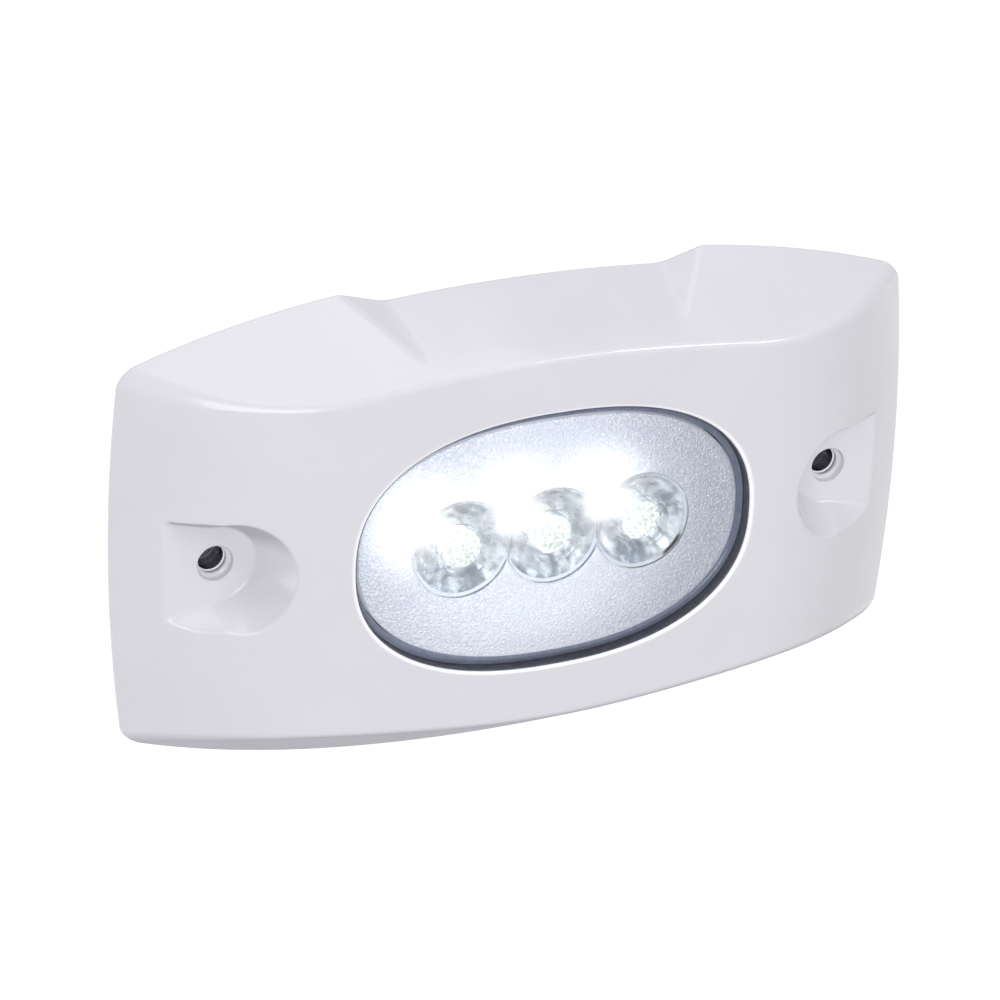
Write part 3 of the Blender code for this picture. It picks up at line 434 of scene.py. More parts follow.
def front_cover():
    """The whole moulding as one closed mesh: skin, window edge, screw holes, rim and hollow."""
    build = Build()
    angles = outline_angles(900)
    rim = edge_outline(RIM_FRONT + RIM_ROUND, 0.0, angles)
    window_edge = 0.55
    hole_edge = 0.30
    counterbore, ledge, bore, boss = (3.86, 6.4), (3.05, 5.3), 4.2, 7.0
    fixing = [(side * FIXING_X, 0.0) for side in (-1, 1)]
    screws = [(a * COVER_SCREW_AT[0], b * COVER_SCREW_AT[1]) for a in (-1, 1) for b in (-1, 1)]

    # Skin
    holes = [oval(WINDOW, -window_edge)]
    holes += [circle(x, z, counterbore[0] + hole_edge) for x, z in fixing]
    chains = pocket_chains(-1, 0.0, 30) + pocket_chains(1, 0.0, 30)
    coarse = graded_points(SKIN_STEP, 0.0, 0.045)
    fine = graded_points(SKIN_STEP / 2, 0.0, 0.30, *SCOOP_REGION, sparse=False)
    both = [np.concatenate(pair) for pair in zip(coarse, fine)]
    free = clear_points(both, rim, holes, chains, 0.3)
    x, z, faces = fill(rim, holes, chains, free)
    depth = depth_at(x, z)
    skin = build.row(x, z, depth, normals_at(x, z, depth))
    build.faces += [tuple(face) for face in faces.tolist()]
    place = len(rim[0])
    rim_row = skin[:place]
    window_row = skin[place:place + len(holes[0][0])]
    place += len(window_row)
    hole_rows = []
    for hole in holes[1:]:
        hole_rows.append(skin[place:place + len(hole[0])])
        place += len(hole[0])

    # Hollow
    inner = edge_outline(RIM_BACK, -WALL, angles[::2])
    back_holes = [oval(WINDOW)]
    back_holes += [circle(a, b, boss) for a, b in fixing]
    back_holes += [circle(a, b, SCREW_BOSS[0], SCREW_STEPS) for a, b in screws]
    back_chains = pocket_chains(-1, -WALL, 14) + pocket_chains(1, -WALL, 14)
    free = clear_points(graded_points(0.9, -WALL, 0.05), inner, back_holes, back_chains, 0.8)
    x, z, faces = fill(inner, back_holes, back_chains, free)
    depth = np.maximum(depth_at(x, z, -WALL), RIM_BACK)
    hollow = build.row(x, z, depth)
    build.faces += [tuple(reversed(face)) for face in (faces + hollow[0]).tolist()]
    place = len(inner[0])
    inner_row = hollow[:place]
    back_rows = []
    for hole in back_holes:
        back_rows.append(hollow[place:place + len(hole[0])])
        place += len(hole[0])

    # Rim, from the skin's edge over the back to the hollow
    widest = build.row(*edge_outline(RIM_FRONT, 0.0, angles), RIM_FRONT - RIM_ROUND)
    back = build.row(*edge_outline(RIM_FRONT, -RIM_ROUND, angles), RIM_BACK)
    build.strip(widest, rim_row)
    build.strip(back, widest)
    joined = len(inner_row)
    for i in range(joined):
        j = (i + 1) % joined
        a, b, c = back[2 * i], back[2 * i + 1], back[(2 * i + 2) % len(back)]
        build.faces.append((inner_row[i], b, a))
        build.faces.append((inner_row[i], inner_row[j], b))
        build.faces.append((inner_row[j], c, b))

    # Window edge
    rows = [window_row]
    for turn in (0.25, 0.5, 0.75, 1.0):
        angle = turn * math.pi / 2
        x, z = oval(WINDOW, -window_edge * (1 - math.sin(angle)))
        skin_depth = depth_at(*oval(WINDOW, -window_edge))
        rows.append(build.row(x, z, skin_depth - window_edge * (1 - math.cos(angle))))
    rows.append(back_rows[0])
    build.strips([list(reversed(row)) for row in rows])

    # Fixing holes, bosses and feet
    for (x0, z0), front, behind in zip(fixing, hole_rows, back_rows[1:3]):
        radius, low = counterbore
        rows = [front]
        for turn in (0.33, 0.67, 1.0):
            angle = turn * math.pi / 2
            ring = circle(x0, z0, radius + hole_edge * (1 - math.sin(angle)))
            rows.append(build.row(*ring, POCKET_FLOOR - hole_edge * (1 - math.cos(angle))))
        for ring_radius, ring_depth in ((radius, low + 0.1), (radius - 0.1, low),
                                        (ledge[0] + 0.12, low), (ledge[0], low - 0.12), ledge,
                                        (bore, ledge[1]), (bore, 0.15), (bore + 0.15, 0.0),
                                        (boss - 0.35, 0.0), (boss - 0.2, 0.15), (boss, 1.0)):
            rows.append(build.row(*circle(x0, z0, ring_radius), ring_depth))
        rows.append(behind)
        build.strips([list(reversed(row)) for row in rows])

    # Bosses for the capsule's screws
    (wide, face), (narrow, end), soft = SCREW_BOSS, SCREW_HOLE, 0.15
    for (x0, z0), roof in zip(screws, back_rows[3:]):
        rows = [roof]
        for ring_radius, ring_depth in ((wide, face + soft), (wide - soft, face),
                                        (narrow + soft, face), (narrow, face + soft),
                                        (narrow, end)):
            rows.append(build.row(*circle(x0, z0, ring_radius, SCREW_STEPS), ring_depth))
        build.strips(rows)
        build.cap(rows[-1])
    return build.made("front_cover_moulding")


def lens_front(x):
    return LENS_CENTRE - LENS_CROWN * (x / WINDOW[0]) ** 2


def mask_front(x):
    return MASK_CENTRE - MASK_CROWN * (x / 40.0) ** 2


def ring_of(build, inset, depth, half=WINDOW):
    """A row round an oval; depth is a number or a function of x."""
    x, z = oval(half, inset)
    return build.row(x, z, depth(x) if callable(depth) else depth)


def fan(build, row, reverse=False):
    """Closes a round row with triangles about its middle."""
    places = np.array([build.points[i] for i in row])
    middle = len(build.points)
    build.points.append(tuple(places.mean(axis=0)))
    for i, j in zip(row, row[1:] + row[:1]):
        build.faces.append((j, i, middle) if reverse else (i, j, middle))


def crown(build, row, half, inset, surface):
    """Rows from an oval row in to its middle, on a surface given over x."""
    x, z = oval(half, inset)
    rows = [row]
    for share in (0.9, 0.75, 0.55, 0.35, 0.15):
        rows.append(build.row(x * share, z * share, surface(x * share)))
    build.strips(rows)
    fan(build, rows[-1])


def lens():
    """The clear window: a crowned face, its side wall and the flange behind the cover."""
    build = Build()
    side = GASKET_LIP[1] + 0.05
    inset = side + 1.0
    rows = [ring_of(build, side, FLANGE_FRONT),
            ring_of(build, side, lambda x: lens_front(x) - 0.35),
            ring_of(build, side + 0.1, lambda x: lens_front(x) - 0.1),
            ring_of(build, side + 0.35, lens_front)]
    flange = [ring_of(build, inset, FLANGE_BACK),
              ring_of(build, 0.0, FLANGE_BACK, FLANGE_HALF),
              ring_of(build, 0.0, FLANGE_FRONT, FLANGE_HALF)]
    build.strips(flange + rows)
    crown(build, rows[-1], WINDOW, side + 0.35, lens_front)
    inner = ring_of(build, inset, lambda x: lens_front(x) - LENS_THICK)
    build.strip(inner, flange[0])
    x, z = oval(WINDOW, inset)
    under = [inner]
    for share in (0.75, 0.5, 0.25):
        under.append(build.row(x * share, z * share, lens_front(x * share) - LENS_THICK))
    build.strips(list(reversed(under)))
    fan(build, under[-1], reverse=True)
    obj = build.made("lens_window", 40)
    for face in obj.data.polygons:
        if face.normal.y > FACES_OUT:
            face.material_index = 1
    return obj


def lens_edge():
    """The thick blue-grey edge of the window, between the gasket's lip and the mask."""
    build = Build()
    outer = GASKET_LIP[1] + 0.12
    half = (MASK_HALF[0] + 0.3, MASK_HALF[1] + 0.3)

    def ledge(x):
        return RIM_LEDGE - LENS_CROWN * (x / WINDOW[0]) ** 2

    rows = [ring_of(build, outer, lambda x: ledge(x) - 1.2), ring_of(build, outer, ledge)]
    for share in (0.12, 0.5, 0.85):
        x0, z0 = oval(WINDOW, outer)
        x1, z1 = oval(half)
        x, z = x0 + (x1 - x0) * share, z0 + (z1 - z0) * share
        swell = 0.12 * math.sin(math.pi * share)
        rows.append(build.row(x, z, ledge(x) + (mask_front(x) - 0.3 - ledge(x)) * share + swell))
    rows.append(ring_of(build, 0.0, lambda x: mask_front(x) - 0.45, half))
    rows.append(ring_of(build, 0.0, lambda x: mask_front(x) - 1.7, half))
    build.strips(rows + [rows[0]])
    return build.made("lens_edge", 50)


def gasket():
    """A thin lip round the window with a foot trapped behind the cover."""
    build = Build()
    outer, inner = GASKET_LIP
    middle = (outer + inner) / 2
    profile = [(inner, 18.0), (-3.0, 18.0), (-3.0, 18.7), (outer, 18.75)]
    rows = [ring_of(build, inset, depth) for inset, depth in profile]
    for inset, drop in ((outer, 0.20), (outer + 0.05, 0.06), (middle, 0.0), (inner - 0.05, 0.06),
                        (inner, 0.20), (inner, 1.2)):
        rows.append(ring_of(build, inset, lambda x, drop=drop: lens_front(x) - 0.02 - drop))
    build.strips(rows + [rows[0]])
    return build.made("window_gasket_lip", 50)


def sleeve(word, middle):
    """The metal tube of a fixing hole, with a fine turned inside."""
    build = Build()
    outer, bore, front, end = SLEEVE
    profile = [(outer - 0.15, front), (outer, front - 0.15), (outer, end), (bore + 0.1, end),
               (bore, end + 0.1)]
    groove = bore + 0.09
    for turn in range(20):
        start = -3.6 + 0.4 * turn
        profile += [(bore, start), (groove, start + 0.12), (groove, start + 0.22),
                    (bore, start + 0.34)]
    profile += [(bore, front - 0.4), (bore + 0.2, front)]
    rows = [build.row(*circle(middle, 0.0, radius, ROUND_STEPS), depth)
            for radius, depth in profile]
    build.strips(rows + [rows[0]])
    obj = build.made(f"fixing_sleeve_{word}_turned", 40)
    for face in obj.data.polygons:
        x, y, z = (v / MM for v in face.center)
        # The front end and a ring on the bore take the sleeve's second material, a painted highlight
        # that glows.
        bright = -y > front - 0.4 or abs(-y + SLEEVE_LAND) < 0.12
        if bright and math.hypot(x - middle, z) < bore + 0.25:
            face.material_index = 1
    return obj


def lobes(radius):
    """The outline round three overlapping circles, the same number of points at any radius."""
    meet = math.acos(OPTIC_PITCH / 2 / radius)
    x, z = [], []
    for middle, start, end, count in (
            (OPTIC_PITCH, meet - math.pi, math.pi - meet, 96), (0.0, meet, math.pi - meet, 44),
            (-OPTIC_PITCH, meet, 2 * math.pi - meet, 96),
            (0.0, math.pi + meet, 2 * math.pi - meet, 44)):
        angle = np.linspace(start, end, count + 1)[:-1]
        x.append(middle + radius * np.cos(angle))
        z.append(radius * np.sin(angle))
    return np.concatenate(x), np.concatenate(z)


def mask():
    """The silvery bezel: a crowned plate with a rounded edge and a three-lobed opening."""
    build = Build()
    edge, lip = 0.35, 0.3
    outer, hole = oval(MASK_HALF, edge), lobes(OPENING_RADIUS + lip)
    grid = np.meshgrid(np.arange(-42, 42.1, 0.9), np.arange(-26, 26.1, 0.9))
    free = clear_points((grid[0].ravel(), grid[1].ravel()), outer, [hole], [], 0.5)
    x, z, faces = fill(outer, [hole], [], free)
    front = build.row(x, z, mask_front(x))
    shrink = 1 - MASK_SKIRT / MASK_HALF[0]
    under = build.row(x * shrink, z * shrink, mask_front(x) - MASK_WALL)
    build.faces += [tuple(face) for face in (faces + front[0]).tolist()]
    build.faces += [tuple(reversed(face)) for face in (faces + under[0]).tolist()]
    turns = [math.pi / 2 * k / 4 for k in (1, 2, 3, 4)]
    count = len(outer[0])
    skirt = [front[:count]]
    for turn in turns:
        skirt.append(ring_of(build, edge * (1 - math.sin(turn)),
                             lambda x, turn=turn: mask_front(x) - edge * (1 - math.cos(turn)),
                             MASK_HALF))
    skirt.append(ring_of(build, 0.0, MASK_BACK, MASK_HALF))
    ring_x, ring_z = outer
    skirt.append(build.row(ring_x * shrink, ring_z * shrink, MASK_BACK))
    skirt.append(under[:count])
    build.strips(skirt)
    wall = [front[count:count + len(hole[0])]]
    for turn in turns:
        x, z = lobes(OPENING_RADIUS + lip * (1 - math.sin(turn)))
        wall.append(build.row(x, z, mask_front(x) - lip * (1 - math.cos(turn))))
    wall.append(under[count:count + len(hole[0])])
    build.strips(wall)
    return build.made("reflector_mask_plate", 60)


def optic(word):
    """A collimator: ring face, recess round a raised middle lens, cone, and cup over the LED."""
    build = Build()
    middle = OPTIC_PLACES[word]
    top = OPTIC_FRONT
    profile = [(r, top - 0.15 - 0.75 * (r / DISH_RADIUS) ** 2)
               for r in np.linspace(0.4, DISH_RADIUS - 0.1, 8)]
    profile += [(DISH_RADIUS, top - 1.0), (DISH_RADIUS + 0.15, top - 3.0), (4.7, top - 3.3),
                (5.5, top - 3.3), (5.75, top - 3.05), (5.95, top - 0.25), (6.02, top - 0.08),
                (6.2, top), (8.2, top + 0.12), (10.3, top), (10.62, top - 0.06),
                (10.76, top - 0.22), (OPTIC_RADIUS, top - 0.4), (OPTIC_RADIUS, top - 1.7),
                (10.7, top - 1.85), (9.95, top - 2.0)]
    cone = [(9.95, top - 2.0), (9.0, 15.4), (7.3, 12.2), (5.2, 9.6), (4.6, 9.0)]
    radii, depths = [r for r, _ in cone], [d for _, d in cone]
    for share in np.linspace(0, 1, 14)[1:]:
        depth = depths[0] + (depths[-1] - depths[0]) * share
        profile.append((float(np.interp(-depth, [-d for d in depths], radii)), depth))
    profile += [(4.5, 8.92), (3.3, 8.92), (3.2, 9.0), (3.05, 10.5), (2.9, 11.9), (2.4, 12.4),
                (1.6, 12.75), (0.8, 12.95)]
    flat = OPTIC_PITCH / 2 - 0.12
    low = -flat if middle > -OPTIC_PITCH else -99.0
    high = flat if middle < OPTIC_PITCH else 99.0
    rows = []
    for radius, depth in profile:
        x, z = circle(0.0, 0.0, radius, ROUND_STEPS)
        rows.append(build.row(np.clip(x, low, high) + middle, z, depth))
    build.strips(rows)
    fan(build, rows[0], reverse=True)
    fan(build, rows[-1])
    obj = build.made(f"optic_{word}_collimator", 35)
    for face in obj.data.polygons:
        x, y, z = (v / MM for v in face.center)
        reach = math.hypot(x - middle, z)
        skin = float(np.interp(y, [-d for d in depths], radii))
        if reach < DISH_RADIUS and -y > top - 1.1:
            face.material_index = 1
        elif depths[-1] < -y < depths[0] and reach > skin - 0.3:
            face.material_index = 2
    return obj


# ---- Materials --------------------------------------------------------------------------------
class Paint:
    """A Principled material whose pattern comes from object coordinates in millimetres."""

    def __init__(self, name, colour, roughness, metallic=0.0, **sockets):
        self.material = bpy.data.materials.new(name)
        self.material.use_nodes = True
        self.tree = self.material.node_tree
        self.shader = self.tree.nodes["Principled BSDF"]
        self.shader.inputs["Base Color"].default_value = (*colour, 1.0)
        self.shader.inputs["Roughness"].default_value = roughness
        self.shader.inputs["Metallic"].default_value = metallic
        self.colour, self.roughness = colour, roughness
        for socket, value in sockets.items():
            self.shader.inputs[socket.replace("_", " ")].default_value = value
        coordinates = self.add("ShaderNodeTexCoord")
        scale = self.add("ShaderNodeVectorMath", operation="SCALE")
        scale.inputs["Scale"].default_value = 1 / MM
        self.join(coordinates.outputs["Object"], scale.inputs[0])
        self.place = scale.outputs[0]

    def add(self, kind, **settings):
        node = self.tree.nodes.new(kind)
        for setting, value in settings.items():
            setattr(node, setting, value)
        return node

    def join(self, source, target):
        self.tree.links.new(source, target)

    def noise(self, per_mm, detail=3.0, stretch=None, rough=0.5):
        place = self.place
        if stretch:
            mapping = self.add("ShaderNodeMapping")
            mapping.inputs["Scale"].default_value = stretch
            self.join(place, mapping.inputs[0])
            place = mapping.outputs[0]
        noise = self.add("ShaderNodeTexNoise")
        noise.inputs["Scale"].default_value = per_mm
        noise.inputs["Detail"].default_value = detail
        noise.inputs["Roughness"].default_value = rough
        self.join(place, noise.inputs["Vector"])
        return noise.outputs["Fac"]

    def span(self, source, low, high, from_low=0.3, from_high=0.7):
        node = self.add("ShaderNodeMapRange")
        for socket, value in (("From Min", from_low), ("From Max", from_high),
                              ("To Min", low), ("To Max", high)):
            node.inputs[socket].default_value = value
        self.join(source, node.inputs["Value"])
        return node.outputs["Result"]

    def tint(self, source, dark, light, from_low=0.3, from_high=0.7):
        ramp_node = self.add("ShaderNodeValToRGB")
        first, last = ramp_node.color_ramp.elements
        first.position, last.position = from_low, from_high
        first.color, last.color = (*dark, 1.0), (*light, 1.0)
        self.join(source, ramp_node.inputs["Fac"])
        return ramp_node.outputs["Color"]

    def drive(self, socket, source):
        self.join(source, self.shader.inputs[socket])

    def bump(self, source, height_mm):
        node = self.add("ShaderNodeBump")
        node.inputs["Strength"].default_value = 1.0
        node.inputs["Distance"].default_value = height_mm * MM
        self.join(source, node.inputs["Height"])
        self.drive("Normal", node.outputs["Normal"])

    def glow(self, spots, near_mm, far_mm):
        """1 within near_mm of any of the (x, z) spots, falling smoothly to 0 at far_mm."""
        flat = self.add("ShaderNodeVectorMath", operation="MULTIPLY")
        flat.inputs[1].default_value = (1.0, 0.0, 1.0)
        self.join(self.place, flat.inputs[0])
        total = None
        for x, z in spots:
            gap = self.add("ShaderNodeVectorMath", operation="DISTANCE")
            gap.inputs[1].default_value = (x, 0.0, z)
            self.join(flat.outputs[0], gap.inputs[0])
            fade = self.add("ShaderNodeMapRange", interpolation_type="SMOOTHSTEP")
            fade.inputs["From Min"].default_value = far_mm
            fade.inputs["From Max"].default_value = near_mm
            self.join(gap.outputs["Value"], fade.inputs["Value"])
            if total is None:
                total = fade.outputs["Result"]
            else:
                total = self.maths("MAXIMUM", total, fade.outputs["Result"])
        return total

    def maths(self, operation, *values):
        node = self.add("ShaderNodeMath", operation=operation)
        for socket, value in zip(node.inputs, values):
            if isinstance(value, (int, float)):
                socket.default_value = value
            else:
                self.join(value, socket)
        return node.outputs[0]

    def oval_share(self, half, power):
        """How far out a point is, 1 on the oval."""
        parts = self.add("ShaderNodeSeparateXYZ")
        self.join(self.place, parts.inputs[0])
        x = self.maths("POWER", self.maths("ABSOLUTE", self.maths(
            "DIVIDE", parts.outputs["X"], half[0])), power)
        z = self.maths("POWER", self.maths("ABSOLUTE", self.maths(
            "DIVIDE", parts.outputs["Z"], half[1])), power)
        return self.maths("POWER", self.maths("ADD", x, z), 1 / power)

    def lit(self, source, strength, colour=(1.0, 1.0, 1.0)):
        """Emission of a colour, as strong as source times strength."""
        self.shader.inputs["Emission Color"].default_value = (*colour, 1.0)
        self.drive("Emission Strength", self.maths("MULTIPLY", source, strength))
        return self

    def vary(self, per_mm, colour_share, rough_share, bump_mm, stretch=None):
        """Uneven colour and gloss at one scale, with a fine grain in the surface."""
        source = self.noise(per_mm, 4.0, stretch)
        dark = tuple(c * (1 - colour_share) for c in self.colour)
        light = tuple(min(c * (1 + colour_share), 1.0) for c in self.colour)
        self.drive("Base Color", self.tint(source, dark, light))
        self.drive("Roughness", self.span(source, self.roughness * (1 + rough_share),
                                          self.roughness * (1 - rough_share)))
        self.bump(self.noise(per_mm * 6, 3.0, stretch), bump_mm)
        return self


def white_asa():
    """Glossy white, darkened by painted shade and rougher underneath, with a painted glow round the
    window's rim.
    """
    paint = Paint("white_asa", (0.80, 0.795, 0.84), 0.15, IOR=1.49)
    paint.vary(0.05, 0.012, 0.2, 0.0015)
    parts = paint.add("ShaderNodeSeparateXYZ")
    coordinates = paint.add("ShaderNodeTexCoord")
    paint.join(coordinates.outputs["Normal"], parts.inputs[0])
    # Painted shade: faces that point down get a darker colour, and a rougher gloss as well.
    under = paint.span(parts.outputs["Z"], 0.0, 1.0, -0.30, -0.62)
    under_shade = paint.add("ShaderNodeMix", data_type="RGBA", blend_type="MULTIPLY")
    under_shade.inputs["B"].default_value = (0.70, 0.70, 0.72, 1.0)
    tinted = paint.shader.inputs["Base Color"].links[0].from_socket
    paint.join(tinted, under_shade.inputs["A"])
    paint.join(under, under_shade.inputs["Factor"])
    paint.drive("Base Color", under_shade.outputs["Result"])
    gloss = paint.shader.inputs["Roughness"].links[0].from_socket
    paint.drive("Roughness", paint.maths("ADD", gloss, paint.maths("MULTIPLY", under, 0.40)))
    # Painted glow: the cover gives off light in a thin band just outside the window's edge.
    out = paint.oval_share(WINDOW, OVAL_POWER)
    spill = paint.span(out, 0.0, 1.0, 1.024, 1.004)
    return paint.lit(spill, 0.38).material


def clear_window():
    """Clear plastic: a gloss over see-through, with a painted white glow of the lit optics on it."""
    paint = Paint("clear_window", (1.0, 1.0, 1.0), 0.03)
    output = paint.tree.nodes["Material Output"]
    paint.tree.nodes.remove(paint.shader)
    clear = paint.add("ShaderNodeBsdfTransparent")
    clear.inputs["Color"].default_value = (0.975, 0.985, 0.99, 1.0)
    gloss = paint.add("ShaderNodeBsdfGlossy")
    gloss.inputs["Roughness"].default_value = 0.03
    fresnel = paint.add("ShaderNodeFresnel")
    fresnel.inputs["IOR"].default_value = 1.45
    surface = paint.add("ShaderNodeMixShader")
    paint.join(fresnel.outputs[0], surface.inputs["Fac"])
    paint.join(clear.outputs[0], surface.inputs[1])
    paint.join(gloss.outputs[0], surface.inputs[2])
    light = paint.add("ShaderNodeEmission")
    light.inputs["Strength"].default_value = 1.5
    painted_glow_mix = paint.add("ShaderNodeMixShader")
    # Painted light: the window gives off white light round each spot beside an optic, strong in a
    # small core and faint further out.
    core = paint.maths("MULTIPLY", paint.glow(PAINTED_GLOW_SPOTS, 0.8, 7.1), 0.66)
    glow_spread = paint.maths("MULTIPLY", paint.glow(PAINTED_GLOW_SPOTS, 3.0, 15.0), 0.18)
    paint.join(paint.maths("ADD", core, glow_spread), painted_glow_mix.inputs["Fac"])
    paint.join(surface.outputs[0], painted_glow_mix.inputs[1])
    paint.join(light.outputs[0], painted_glow_mix.inputs[2])
    paint.join(painted_glow_mix.outputs[0], output.inputs["Surface"])
    return paint.material


def window_back():
    """The inner face of the window: see-through, with no mirror of its own."""
    paint = Paint("window_back", (1.0, 1.0, 1.0), 0.03)
    output = paint.tree.nodes["Material Output"]
    paint.tree.nodes.remove(paint.shader)
    clear = paint.add("ShaderNodeBsdfTransparent")
    tinted = paint.tint(paint.noise(0.1), (0.965, 0.975, 0.985), (0.985, 0.995, 1.0))
    paint.join(tinted, clear.inputs["Color"])
    paint.join(clear.outputs[0], output.inputs["Surface"])
    return paint.material


def silver_mask():
    """Satin silver with a moulded orange-peel grain, and painted light: a broad painted sheen, a
    painted glow beside each optic and a faint even painted glow over all of it.
    """
    paint = Paint("silver_mask", (0.70, 0.73, 0.84), 0.30, 0.5)
    grain = paint.noise(1.9, 2.0, None, 0.55)
    paint.drive("Base Color", paint.tint(grain, (0.56, 0.59, 0.72), (0.86, 0.88, 0.98), 0.38, 0.60))
    paint.drive("Roughness", paint.span(grain, 0.36, 0.22))
    paint.bump(grain, 0.40)
    # Painted light: emission for a broad sheen, for a glow round each optic's spot, and an even glow
    # of 0.19 everywhere.
    wide = paint.maths("MULTIPLY", paint.glow([MASK_PAINTED_SHEEN], 12.0, 50.0), 0.30)
    near = paint.maths("MULTIPLY", paint.glow(PAINTED_GLOW_SPOTS, 2.0, 16.0), 0.44)
    near = paint.maths("ADD", paint.maths("ADD", near, wide), 0.19)
    return paint.lit(near, 1.0, (0.96, 0.975, 1.0)).material


def clear_acrylic():
    paint = Paint("clear_acrylic", (0.985, 0.995, 1.0), 0.11, IOR=1.49, Transmission_Weight=1.0)
    paint.bump(paint.noise(0.35, 2.0, (1.0, 1.0, 0.35)), 0.03)
    return paint.material


def silver_cone():
    """The outside of an optic, a silver mirror in place of the glass's own inner reflection,
    streaked round: the streaks are bumps and gloss in the surface, and painted light that lightens,
    darkens and faintly glows.
    """
    paint = Paint("silver_cone", (0.80, 0.83, 0.88), 0.22, 1.0)
    streaks_and_painted_light = paint.noise(0.45, 3.0, (1.0, 0.35, 1.0))
    # Painted light: the streaks lighten and darken the colour and give off a faint glow.
    paint.drive("Base Color", paint.tint(streaks_and_painted_light, (0.42, 0.46, 0.52), (0.94, 0.96, 1.0), 0.40, 0.60))
    paint.drive("Roughness", paint.span(streaks_and_painted_light, 0.32, 0.14))
    paint.bump(streaks_and_painted_light, 0.12)
    return paint.lit(paint.span(streaks_and_painted_light, 0.3, 1.0), 0.22, (0.93, 0.96, 1.0)).material


def lit_frost():
    """The frosted middle of a lit optic, glowing with painted light of the LED behind it, with faint
    green painted glints.
    """
    paint = Paint("lit_frost", (0.93, 0.96, 0.93), 0.5)
    grain = paint.noise(1.4, 4.0, None, 0.65)
    paint.drive("Emission Color", paint.tint(grain, (0.10, 0.22, 0.13), (1.0, 1.0, 1.0), 0.42, 0.57))
    paint.shader.inputs["Emission Strength"].default_value = 0.72
    paint.bump(paint.noise(3.0), 0.08)
    return paint.material


# A grained material that gives off light. On the LED's phosphor this is a lamp; on the optic holder,
# the LED board and the sleeves' bright rings it is painted light.
def glowing_material(name, colour, strength):
    paint = Paint(name, colour, 0.4)
    grain = paint.noise(2.5)
    paint.drive("Base Color", paint.tint(grain, tuple(0.9 * c for c in colour), colour))
    paint.drive("Roughness", paint.span(grain, 0.5, 0.3))
    return paint.lit(paint.span(grain, 0.92, 1.0), strength, colour).material


def rubber(name, colour, roughness):
    return Paint(name, colour, roughness).vary(0.8, 0.2, 0.2, 0.01).material


def metal(name, colour, roughness, stretch=(1.0, 1.0, 1.0)):
    return Paint(name, colour, roughness, 1.0).vary(0.9, 0.08, 0.3, 0.002, stretch).material


def plastic(name, colour, roughness):
    return Paint(name, colour, roughness).vary(0.4, 0.06, 0.2, 0.006).material


# ---- Camera, light and floor --------------------------------------------------------------------
CAMERA = {"azimuth": -24.122, "elevation": 25.39, "roll": 1.847, "distance": 0.8790,
          "target": (-0.003413, 0.0, -0.000158), "lens": 150.872}


def point_camera():
    azimuth, elevation, roll = (math.radians(CAMERA[k]) for k in ("azimuth", "elevation", "roll"))
    back = Vector((math.sin(azimuth) * math.cos(elevation),
                   -math.cos(azimuth) * math.cos(elevation), math.sin(elevation)))
    level = (-back).cross(Vector((0, 0, 1))).normalized()
    upright = level.cross(-back)
    right = level * math.cos(roll) + upright * math.sin(roll)
    up = upright * math.cos(roll) - level * math.sin(roll)
    camera = bpy.data.objects.new("camera", bpy.data.cameras.new("camera"))
    camera.data.lens = CAMERA["lens"]
    camera.data.sensor_width = 36.0
    camera.data.clip_start = 0.01
    turn = Matrix((right, up, back)).transposed().to_4x4()
    camera.matrix_world = Matrix.Translation(
        Vector(CAMERA["target"]) + back * CAMERA["distance"]) @ turn
    scene.collection.objects.link(camera)
    scene.camera = camera


def softbox(name, place, target, size, power):
    data = bpy.data.lights.new(name, "AREA")
    data.shape = "RECTANGLE"
    data.size, data.size_y = size
    data.energy = power
    box = bpy.data.objects.new(name, data)
    box.location = place
    way = Vector(target) - Vector(place)
    box.rotation_euler = way.to_track_quat("-Z", "Y").to_euler()
    scene.collection.objects.link(box)


def studio():
    scene.view_settings.view_transform = "Standard"
    world = bpy.data.worlds.new("studio")
    scene.world = world
    world.use_nodes = True
    world.node_tree.nodes["Background"].inputs["Color"].default_value = (0.97, 0.975, 1.0, 1.0)
    world.node_tree.nodes["Background"].inputs["Strength"].default_value = 0.34
    half, drop = 6.0, -0.40
    mesh = bpy.data.meshes.new("floor")
    mesh.from_pydata([(-half, -half, drop), (half, -half, drop), (half, half, drop),
                      (-half, half, drop)], [], [(0, 1, 2, 3)])
    floor = bpy.data.objects.new("floor", mesh)
    scene.collection.objects.link(floor)
    paint = Paint("pale_floor", (0.68, 0.68, 0.68), 0.8)
    parts = paint.add("ShaderNodeSeparateXYZ")
    paint.join(paint.place, parts.inputs[0])
    paint.lit(paint.span(parts.outputs["Y"], 0.05, 1.0, -50.0, 390.0), 0.73)
    mesh.materials.append(paint.material)
    softbox("key_box", (-0.80, -1.77, 0.70), (0, 0, 0), (1.4, 1.0), 17.0)
    softbox("left_box", (-0.62, 0.20, -0.27), (0, 0, 0), (0.40, 0.35), 0.6)
    softbox("top_box", (-0.05, -0.12, 1.1), (-0.05, -0.12, 0), (0.9, 0.95), 3.3)
    softbox("ridge_box", (0.95, -1.15, 0.95), (0, 0, 0), (0.9, 0.14), 6.5)


# ---- The object ------------------------------------------------------------------------------
def wear(obj, *materials):
    """Gives an object its materials. Clearing resets each face's material number, even with none
    to clear, so a piece that chose its numbers itself is left alone."""
    if obj.data.materials:
        obj.data.materials.clear()
    for material in materials:
        obj.data.materials.append(material)


def piece(obj, node, slot, *materials):
    """A finer piece that stands for a CAD node."""
    wear(obj, *materials)
    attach(obj, LIGHT)
    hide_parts(node)


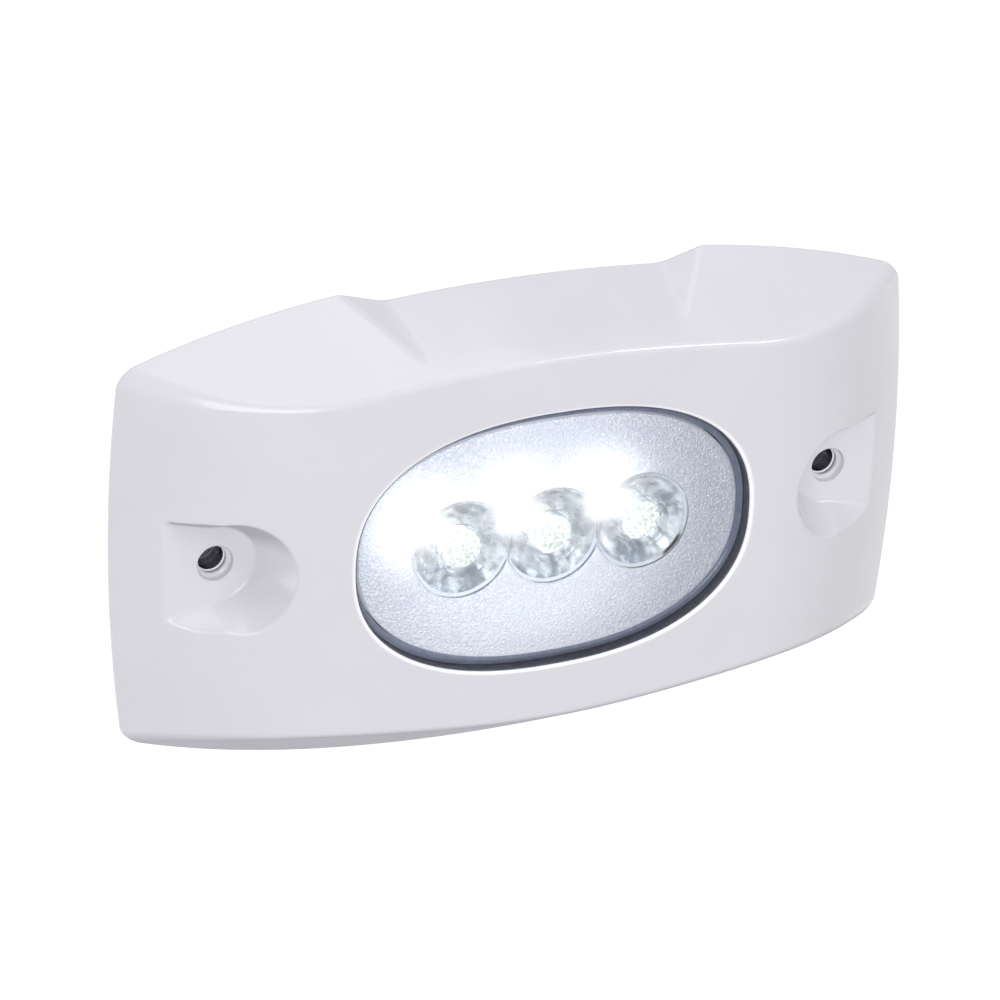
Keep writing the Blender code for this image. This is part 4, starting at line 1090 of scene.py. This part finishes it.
point_camera()
studio()
piece(front_cover(), "front_cover", "cover", white_asa())
piece(lens(), "lens", "lens", clear_window(), window_back())
edge_paint = Paint("window_edge", (0.30, 0.33, 0.44), 0.22, Coat_Weight=0.4)
piece(lens_edge(), "lens", "lens", edge_paint.vary(0.5, 0.1, 0.2, 0.003).material)
piece(gasket(), "window_gasket", "gasket", rubber("lip_rubber", (0.095, 0.10, 0.13), 0.38))
piece(mask(), "reflector_mask", "mask", silver_mask())
acrylic, frost, cone = clear_acrylic(), lit_frost(), silver_cone()
for word in OPTIC_PLACES:
    piece(optic(word), f"optic_{word}", "optic", acrylic, frost, cone)

# Painted shade: the sleeves' stainless is much darker than the other stainless, for the shade inside
# the fixing holes.
bore = metal("sleeve_stainless_painted_shade", (0.24, 0.24, 0.28), 0.20, (1.0, 0.15, 1.0))
land_highlight = glowing_material("sleeve_land_painted_highlight", (0.90, 0.90, 0.93), 0.35)
for word, middle in (("left", -FIXING_X), ("right", FIXING_X)):
    piece(sleeve(word, middle), f"fixing_sleeve_{word}", "stainless", bore, land_highlight)

# CAD nodes that keep their shape
finishes = {
    # Painted light: the holder and the board glow as if lit by the LEDs.
    "optic_holder": glowing_material("lit_holder", (0.90, 0.93, 0.97), 0.28),
    "led_board": glowing_material("lit_solder_mask", (0.90, 0.92, 0.90), 0.30),
    "thermal_pad": plastic("thermal_silicone", (0.36, 0.42, 0.52), 0.85),
    "heat_spreader": metal("milled_aluminium", (0.74, 0.75, 0.77), 0.38, (1.0, 1.0, 0.08)),
    "rear_housing": plastic("black_nylon", (0.028, 0.029, 0.033), 0.42),
    "gland_nut": plastic("gland_nylon", (0.032, 0.033, 0.036), 0.36),
    "thrust_ring": metal("turned_stainless", (0.66, 0.66, 0.65), 0.25, (1.0, 0.1, 1.0)),
    "clamp_ring": metal("stamped_stainless", (0.66, 0.66, 0.65), 0.28, (0.1, 1.0, 1.0)),
    "inductor": metal("copper_winding", (0.72, 0.38, 0.20), 0.35, (0.2, 6.0, 0.2)),
    "supply_lead_red": plastic("red_insulation", (0.50, 0.04, 0.04), 0.42),
    "supply_lead_black": plastic("black_insulation", (0.03, 0.03, 0.032), 0.42),
}
screw = metal("screw_stainless", (0.70, 0.70, 0.69), 0.22)
can = metal("aluminium_can", (0.74, 0.74, 0.75), 0.33, (1.0, 0.2, 1.0))
black = plastic("moulded_black", (0.028, 0.028, 0.030), 0.40)
seal = rubber("seal_rubber", (0.035, 0.036, 0.040), 0.55)
dome = glowing_material("lit_phosphor", (1.0, 0.97, 0.84), 4.0)
base = glowing_material("lit_ceramic", (0.95, 0.96, 0.95), 0.8)
families = {"capsule_screw": screw, "cover_screw": screw, "board_screw": screw,
            "capacitor": can, "rectifier": black, "driver_chip": black,
            "resistor": black, "lens_seal": seal, "lead_bung": seal, "cable_seal": seal,
            "spigot_o_ring": seal, "led_dome": dome, "led_base": base}
replaced = {"front_cover", "lens", "window_gasket", "reflector_mask", "optic_left", "optic_centre",
            "optic_right", "fixing_sleeve_left", "fixing_sleeve_right"}
for name, obj in nodes.items():
    family = next((f for f in families if name.startswith(f)), None)
    if name not in replaced:
        wear(obj, finishes[name] if name in finishes else families[family])
